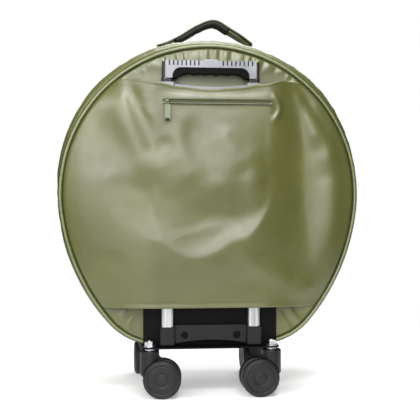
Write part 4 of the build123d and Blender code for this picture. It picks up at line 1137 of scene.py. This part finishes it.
def makeCarry():
    # a strap, the wrap under its middle, a tail, and the two looped ends
    x = np.linspace(-0.1025, 0.1025, 150)
    low = np.full_like(x, 0.0003)
    strap = carryBand("strap", x, low, low + carry["thick"] - 0.0006, 0.0, 0.0011)
    a, b = carry["wrap"]
    x = np.linspace(a, b, 90)
    fat = carry["grip"] * (0.72 + 0.28 * smooth(a, a + 0.030, x)) + 0.0003 * ripple(x, 91, 0.02)
    wrap = carryBand("carry_handle_wrap", x, -fat, np.zeros_like(x) + 0.0001, 0.0004, 0.0034)
    x = np.linspace(*carry["tail"], 50)
    tail = carryBand("carry_tail", x, np.full_like(x, -0.0040), np.zeros_like(x) + 0.0002, -0.0006, 0.0012)
    under = carryBand("carry_under", x, np.full_like(x, -0.0064), np.full_like(x, -0.0039), 0.0, 0.0009)
    place(tail, "carry_handle", "webbing", webBlack)
    place(under, "carry_handle", "coated_fabric", clothOlive)
    skin = np.linspace(a + 0.010, b - 0.004, 80)
    rows = []
    for side in (-1, 1):
        z = carryPivot + carryLine(skin)
        slope = np.gradient(z, skin)
        normal = unitOf(pointsAt(-slope, 0, 1))
        y = carryY + side * (carryWidth(skin) - 0.0035)
        rows.append((pointsAt(skin, y, z) + normal * (carry["thick"] - 0.0004), normal))
    posts = []
    for side in (-1, 1):
        t = np.linspace(0, 1, 12)
        top = carryPivot + carryLine(np.array([side * carrySpread]))[0] + 0.001
        posts.append(makePost(pointsAt(side * carrySpread, carryY, carryPivot + (top - carryPivot) * t)))
    place(join("carry_strap", strap, *posts), "carry_handle", "coated_fabric", clothOlive, "carry_handle_strap")
    place(wrap, "carry_handle", "webbing", webBlack, "carry_handle_grip")
    place(sew("carry_stitches", rows), "carry_handle", "zip_tape", threadOlive)


def makePost(path):
    # the strap's looped end: an oval band from the pin up to the strap, closed round the pin below
    loop = roundedLoop(0.0048, 0.0028, 0.0015, 28)
    return shell("post", path[:, None] + pointsAt(loop[:, 0], loop[:, 1], 0))


def makeAnchors():
    # sewn patches that lie on the gusset, each with two ears and the pin that the strap's end turns on
    pieces, rows = [], []
    for side in (-1, 1):
        halfA, halfB = carry["patch"]
        loops = puck(halfA, halfB, 0.006, softPad(halfB, 0.0018, 0.0008), 96)
        a, up, b = loops[..., 0], loops[..., 1], loops[..., 2]
        s = topShare(side * (carrySpread - 0.002) + a)
        base = gussetSkin(s, carryMiddle + b)
        pieces.append(shell("patch", base + outwardAt(s) * (up + 0.0009)[..., None]))
        for inset in (0.003, 0.0055):
            loop = roundedLoop(halfA - inset, halfB - inset, 0.004, 160)
            s = topShare(side * (carrySpread - 0.002) + loop[:, 0])
            rows.append((gussetSkin(s, carryMiddle + loop[:, 1]) + outwardAt(s) * 0.0018, outwardAt(s)))
        foot = gussetSkin(topShare(np.array([side * carrySpread])), np.array([carryMiddle]))[0, 2]
        for e in (-1, 1):
            tall = (anchorHigh.z - foot) / 2
            loops = puck(0.0048, tall, 0.0044, softPad(0.0048, 0.0036, 0.0008))
            turned = np.stack([loops[..., 1], loops[..., 0], loops[..., 2]], -1)
            spot = (side * carrySpread + e * carry["ear"], carryY, foot + tall)
            pieces.append(shell("ear", turned + np.array(spot)))
        unit = spindle([-0.0094, -0.0092, 0.0092, 0.0094], [0, 0.0015, 0.0015, 0], 16)
        spot = np.array([[side * carrySpread, carryY, carryPivot]])
        pieces.append(strew("pin", unit, spot, np.array([[1.0, 0, 0]]), np.array([[0, 0, 1.0]])))
    place(join("anchor_patches", *pieces), "bag", "coated_fabric", clothOlive, "handle_anchors")
    place(sew("anchor_stitches", rows, 0.0034, 0.0024, 0.0003), "bag", "zip_tape", threadOlive)


makeCarry()
makeAnchors()
print("carry handle done")

# trolley grip: dark slots, and wheels with moulded faces

gripLow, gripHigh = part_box("grip_front_shell")
grip = {"first": 0.023, "count": 8, "end": 0.0011, "wide": 0.0026, "tall": 0.0100}


def makeSlotInserts():
    # upright rounded bars at even steps to each side of the grip's middle
    pitch = (gripHigh.x - grip["first"] - grip["end"]) / grip["count"]
    pieces = []
    for side in (-1, 1):
        for n in range(grip["count"]):
            middle = side * (grip["first"] + n * pitch + grip["wide"] / 2)
            pad = softPad(grip["wide"] / 2, 0.0006, 0.0001, 2)
            loops = puck(grip["wide"] / 2 - 0.00005, grip["tall"] / 2, 0.0004, pad, 40)
            spot = (middle, gripLow.y + 0.0012, gripHigh.z - grip["tall"] / 2 - 0.0001)
            pieces.append(shell("insert", loops + np.array(spot)))
    return place(join("grip_slot_inserts", *pieces), "handle_grip", "black_plastic", blackPlastic)


makeSlotInserts()

# bracket screws: domed heads with a rim

screwLow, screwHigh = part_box("bracket_screws")
screw = {"spread": 0.052, "rise": 0.0030}


def makeScrewHeads():
    # a quarter circle turned round the screw, over a flat rim
    radius = screwHigh.x - screw["spread"]
    turn = np.linspace(0, np.pi / 2, 9)
    xs = np.concatenate([[-0.0006, -0.0006], screw["rise"] * np.sin(turn)])
    rs = np.concatenate([[0.0, radius], radius * np.cos(turn)])
    rs[-1] = 0.0
    spots = np.array([[side * screw["spread"], screwLow.y + screw["rise"] * 0.6, (screwLow.z + screwHigh.z) / 2]
                      for side in (-1, 1)])
    ahead, up = np.tile([0.0, -1.0, 0.0], (2, 1)), np.tile([0.0, 0.0, 1.0], (2, 1))
    return place(strew("screw_heads", spindle(xs, rs, 32), spots, ahead, up), "cart", "black_steel", screwBlack)


makeScrewHeads()

# wheels: places along the axle from the wheel's middle, with radii, from the hub's back round to its face

wheel = {"sides": 96, "profile": [
    (-0.0060, 0.0), (-0.0060, 0.0118), (-0.0098, 0.0122), (-0.0098, 0.0160), (-0.0062, 0.0170), (-0.0062, 0.0255),
    (-0.0098, 0.0262), (-0.0099, 0.0330), (-0.0092, 0.0352), (-0.0074, 0.0368), (-0.0046, 0.0374), (0.0, 0.0375),
    (0.0040, 0.0373), (0.0062, 0.0366), (0.0074, 0.0354), (0.0079, 0.0343), (0.0078, 0.0336), (0.0086, 0.0331),
    (0.0095, 0.0322), (0.0099, 0.0306), (0.0098, 0.0292), (0.0091, 0.0284), (0.0084, 0.0278), (0.0084, 0.0268),
    (0.0089, 0.0262), (0.0090, 0.0200), (0.0088, 0.0130), (0.0082, 0.0122), (0.0082, 0.0114), (0.0090, 0.0108),
    (0.0094, 0.0080), (0.0096, 0.0040), (0.0096, 0.0)]}
joints = {joint["name"]: joint for joint in frame["joints"]}


def makeWheel(corner, side):
    # the profile turned round the axle
    node = f"{corner}_wheel_{side}"
    low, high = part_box(node)
    middle = (np.array(low) + np.array(high)) / 2
    axle = np.array(joints[f"{node}_spin"]["axis"], float) * (1 if side == "outer" else -1)
    axle /= np.linalg.norm(axle)
    up = np.array([[0.0, 0.0, 1.0]])
    xs, rs = zip(*wheel["profile"])
    piece = strew(f"{node}_tyre", spindle(xs, rs, wheel["sides"]), middle[None], axle[None], up)
    modify(piece, "BEVEL", width=0.0004, segments=2, limit_method="ANGLE", angle_limit=math.radians(38))
    return place(settle(piece), node, "wheel", wheelGrey, node)


for corner in ("rear_left", "rear_right", "front_left", "front_right"):
    for side in ("outer", "inner"):
        makeWheel(corner, side)
print("wheels done")

# materials for the CAD nodes that stay

finishes = {
    "coated_fabric": clothOlive, "piping": pipingOlive, "lining": liningDark, "zip_tape": zipTape,
    "zip_coil": zipTape, "webbing": webBlack, "slider_metal": sliderPaint, "black_steel": blackSteel,
    "black_plastic": blackPlastic, "tube_aluminium": tubeSatin, "silver_plastic": silverPlastic,
    "grip_rubber": gripRubber, "zinc_steel": zincBright, "wheel": wheelGrey,
}
for entry in frame["record"]["subparts"]:
    node = nodes[entry["node"]]
    for n in range(max(1, len(node.material_slots))):
        if node.material_slots:
            node.material_slots[n].material = finishes[entry["material_slot"]]
        else:
            node.data.materials.append(finishes[entry["material_slot"]])

# floor, light and camera

studio = {"distance": 1.688, "azimuth": -5.5, "height": 0.368, "pixels": 843.0, "frame": 420.0, "ambient": 0.09}


def makeStage():
    # a round pale floor that glows softly further out, so that it runs into the white surround
    turn = np.linspace(0, 2 * np.pi, 96, endpoint=False)
    radius = np.array([0.001, 0.2, 0.4, 0.55, 0.7, 0.85, 1.0])
    radius, turn = grid(radius, turn)
    points = pointsAt(radius * np.cos(turn), radius * np.sin(turn), 0)
    floor = shell("floor", points, (True, False), True)
    f = Finish("floorPale")
    at = f.place()
    speck = f.noise(at, 40.0, 3.0)
    reach = f.node("ShaderNodeVectorMath", {"operation": "LENGTH"}, {0: at}, "Value")
    glow = reach.spread(0.34, 0.95)
    pale = f.blend(speck.spread(0.3, 0.7), tone(236, 236, 236), tone(243, 243, 243))
    colour = f.blend(glow, pale, tone(60, 60, 60))
    light = f.blend(glow, (0.3, 0.3, 0.3, 1), (1, 1, 1, 1))
    f.set(Base_Color=colour, Roughness=0.8, Emission_Color=light, Emission_Strength=1.0)
    floor.data.materials.append(f.material)


def addLight(name, spot, aim, size, power):
    lamp = bpy.data.lights.new(name, "AREA")
    lamp.shape = "RECTANGLE"
    lamp.size, lamp.size_y = size
    lamp.energy = power
    made = bpy.data.objects.new(name, lamp)
    bpy.context.scene.collection.objects.link(made)
    made.location = spot
    made.rotation_euler = (Vector(aim) - Vector(spot)).to_track_quat("-Z", "Y").to_euler()


def makeStudio():
    world = bpy.data.worlds.new("studio")
    world.use_nodes = True
    tree = world.node_tree
    back = tree.nodes["Background"]
    back.inputs[0].default_value = (1, 1, 1, 1)
    seen = tree.nodes.new("ShaderNodeLightPath")
    level = tree.nodes.new("ShaderNodeMapRange")
    level.inputs["To Min"].default_value = studio["ambient"]
    level.inputs["To Max"].default_value = 1.0
    tree.links.new(seen.outputs["Is Camera Ray"], level.inputs["Value"])
    tree.links.new(level.outputs[0], back.inputs[1])
    bpy.context.scene.world = world
    bpy.context.scene.view_settings.view_transform = "Standard"
    aim = (0, panelY, 0.42)
    addLight("front", (-0.56, panelY - 1.85, 1.12), aim, (1.7, 1.5), 43)
    addLight("key", (-1.5, panelY - 1.0, 1.4), aim, (0.7, 0.8), 13)
    addLight("strip", (0.12, panelY - 1.35, 1.60), (0.05, panelY, 0.60), (0.6, 0.35), 16)
    addLight("overhead", (0.1, panelY + 0.2, 2.1), (0, panelY + 0.1, 0.3), (1.5, 0.8), 30)
    addLight("back", (0.5, 1.8, 1.7), (0, 0, 0.4), (1.4, 1.4), 26)
    turn = math.radians(studio["azimuth"])
    camera = bpy.data.cameras.new("camera")
    camera.sensor_width = 36.0
    camera.lens = 36.0 * studio["pixels"] / studio["frame"]
    camera.clip_start = 0.05
    made = bpy.data.objects.new("camera", camera)
    bpy.context.scene.collection.objects.link(made)
    away = studio["distance"]
    made.location = (away * math.sin(turn), panelY - away * math.cos(turn), studio["height"])
    made.rotation_euler = (math.pi / 2, 0, turn)
    bpy.context.scene.camera = made


makeStage()
makeStudio()
print("studio done")
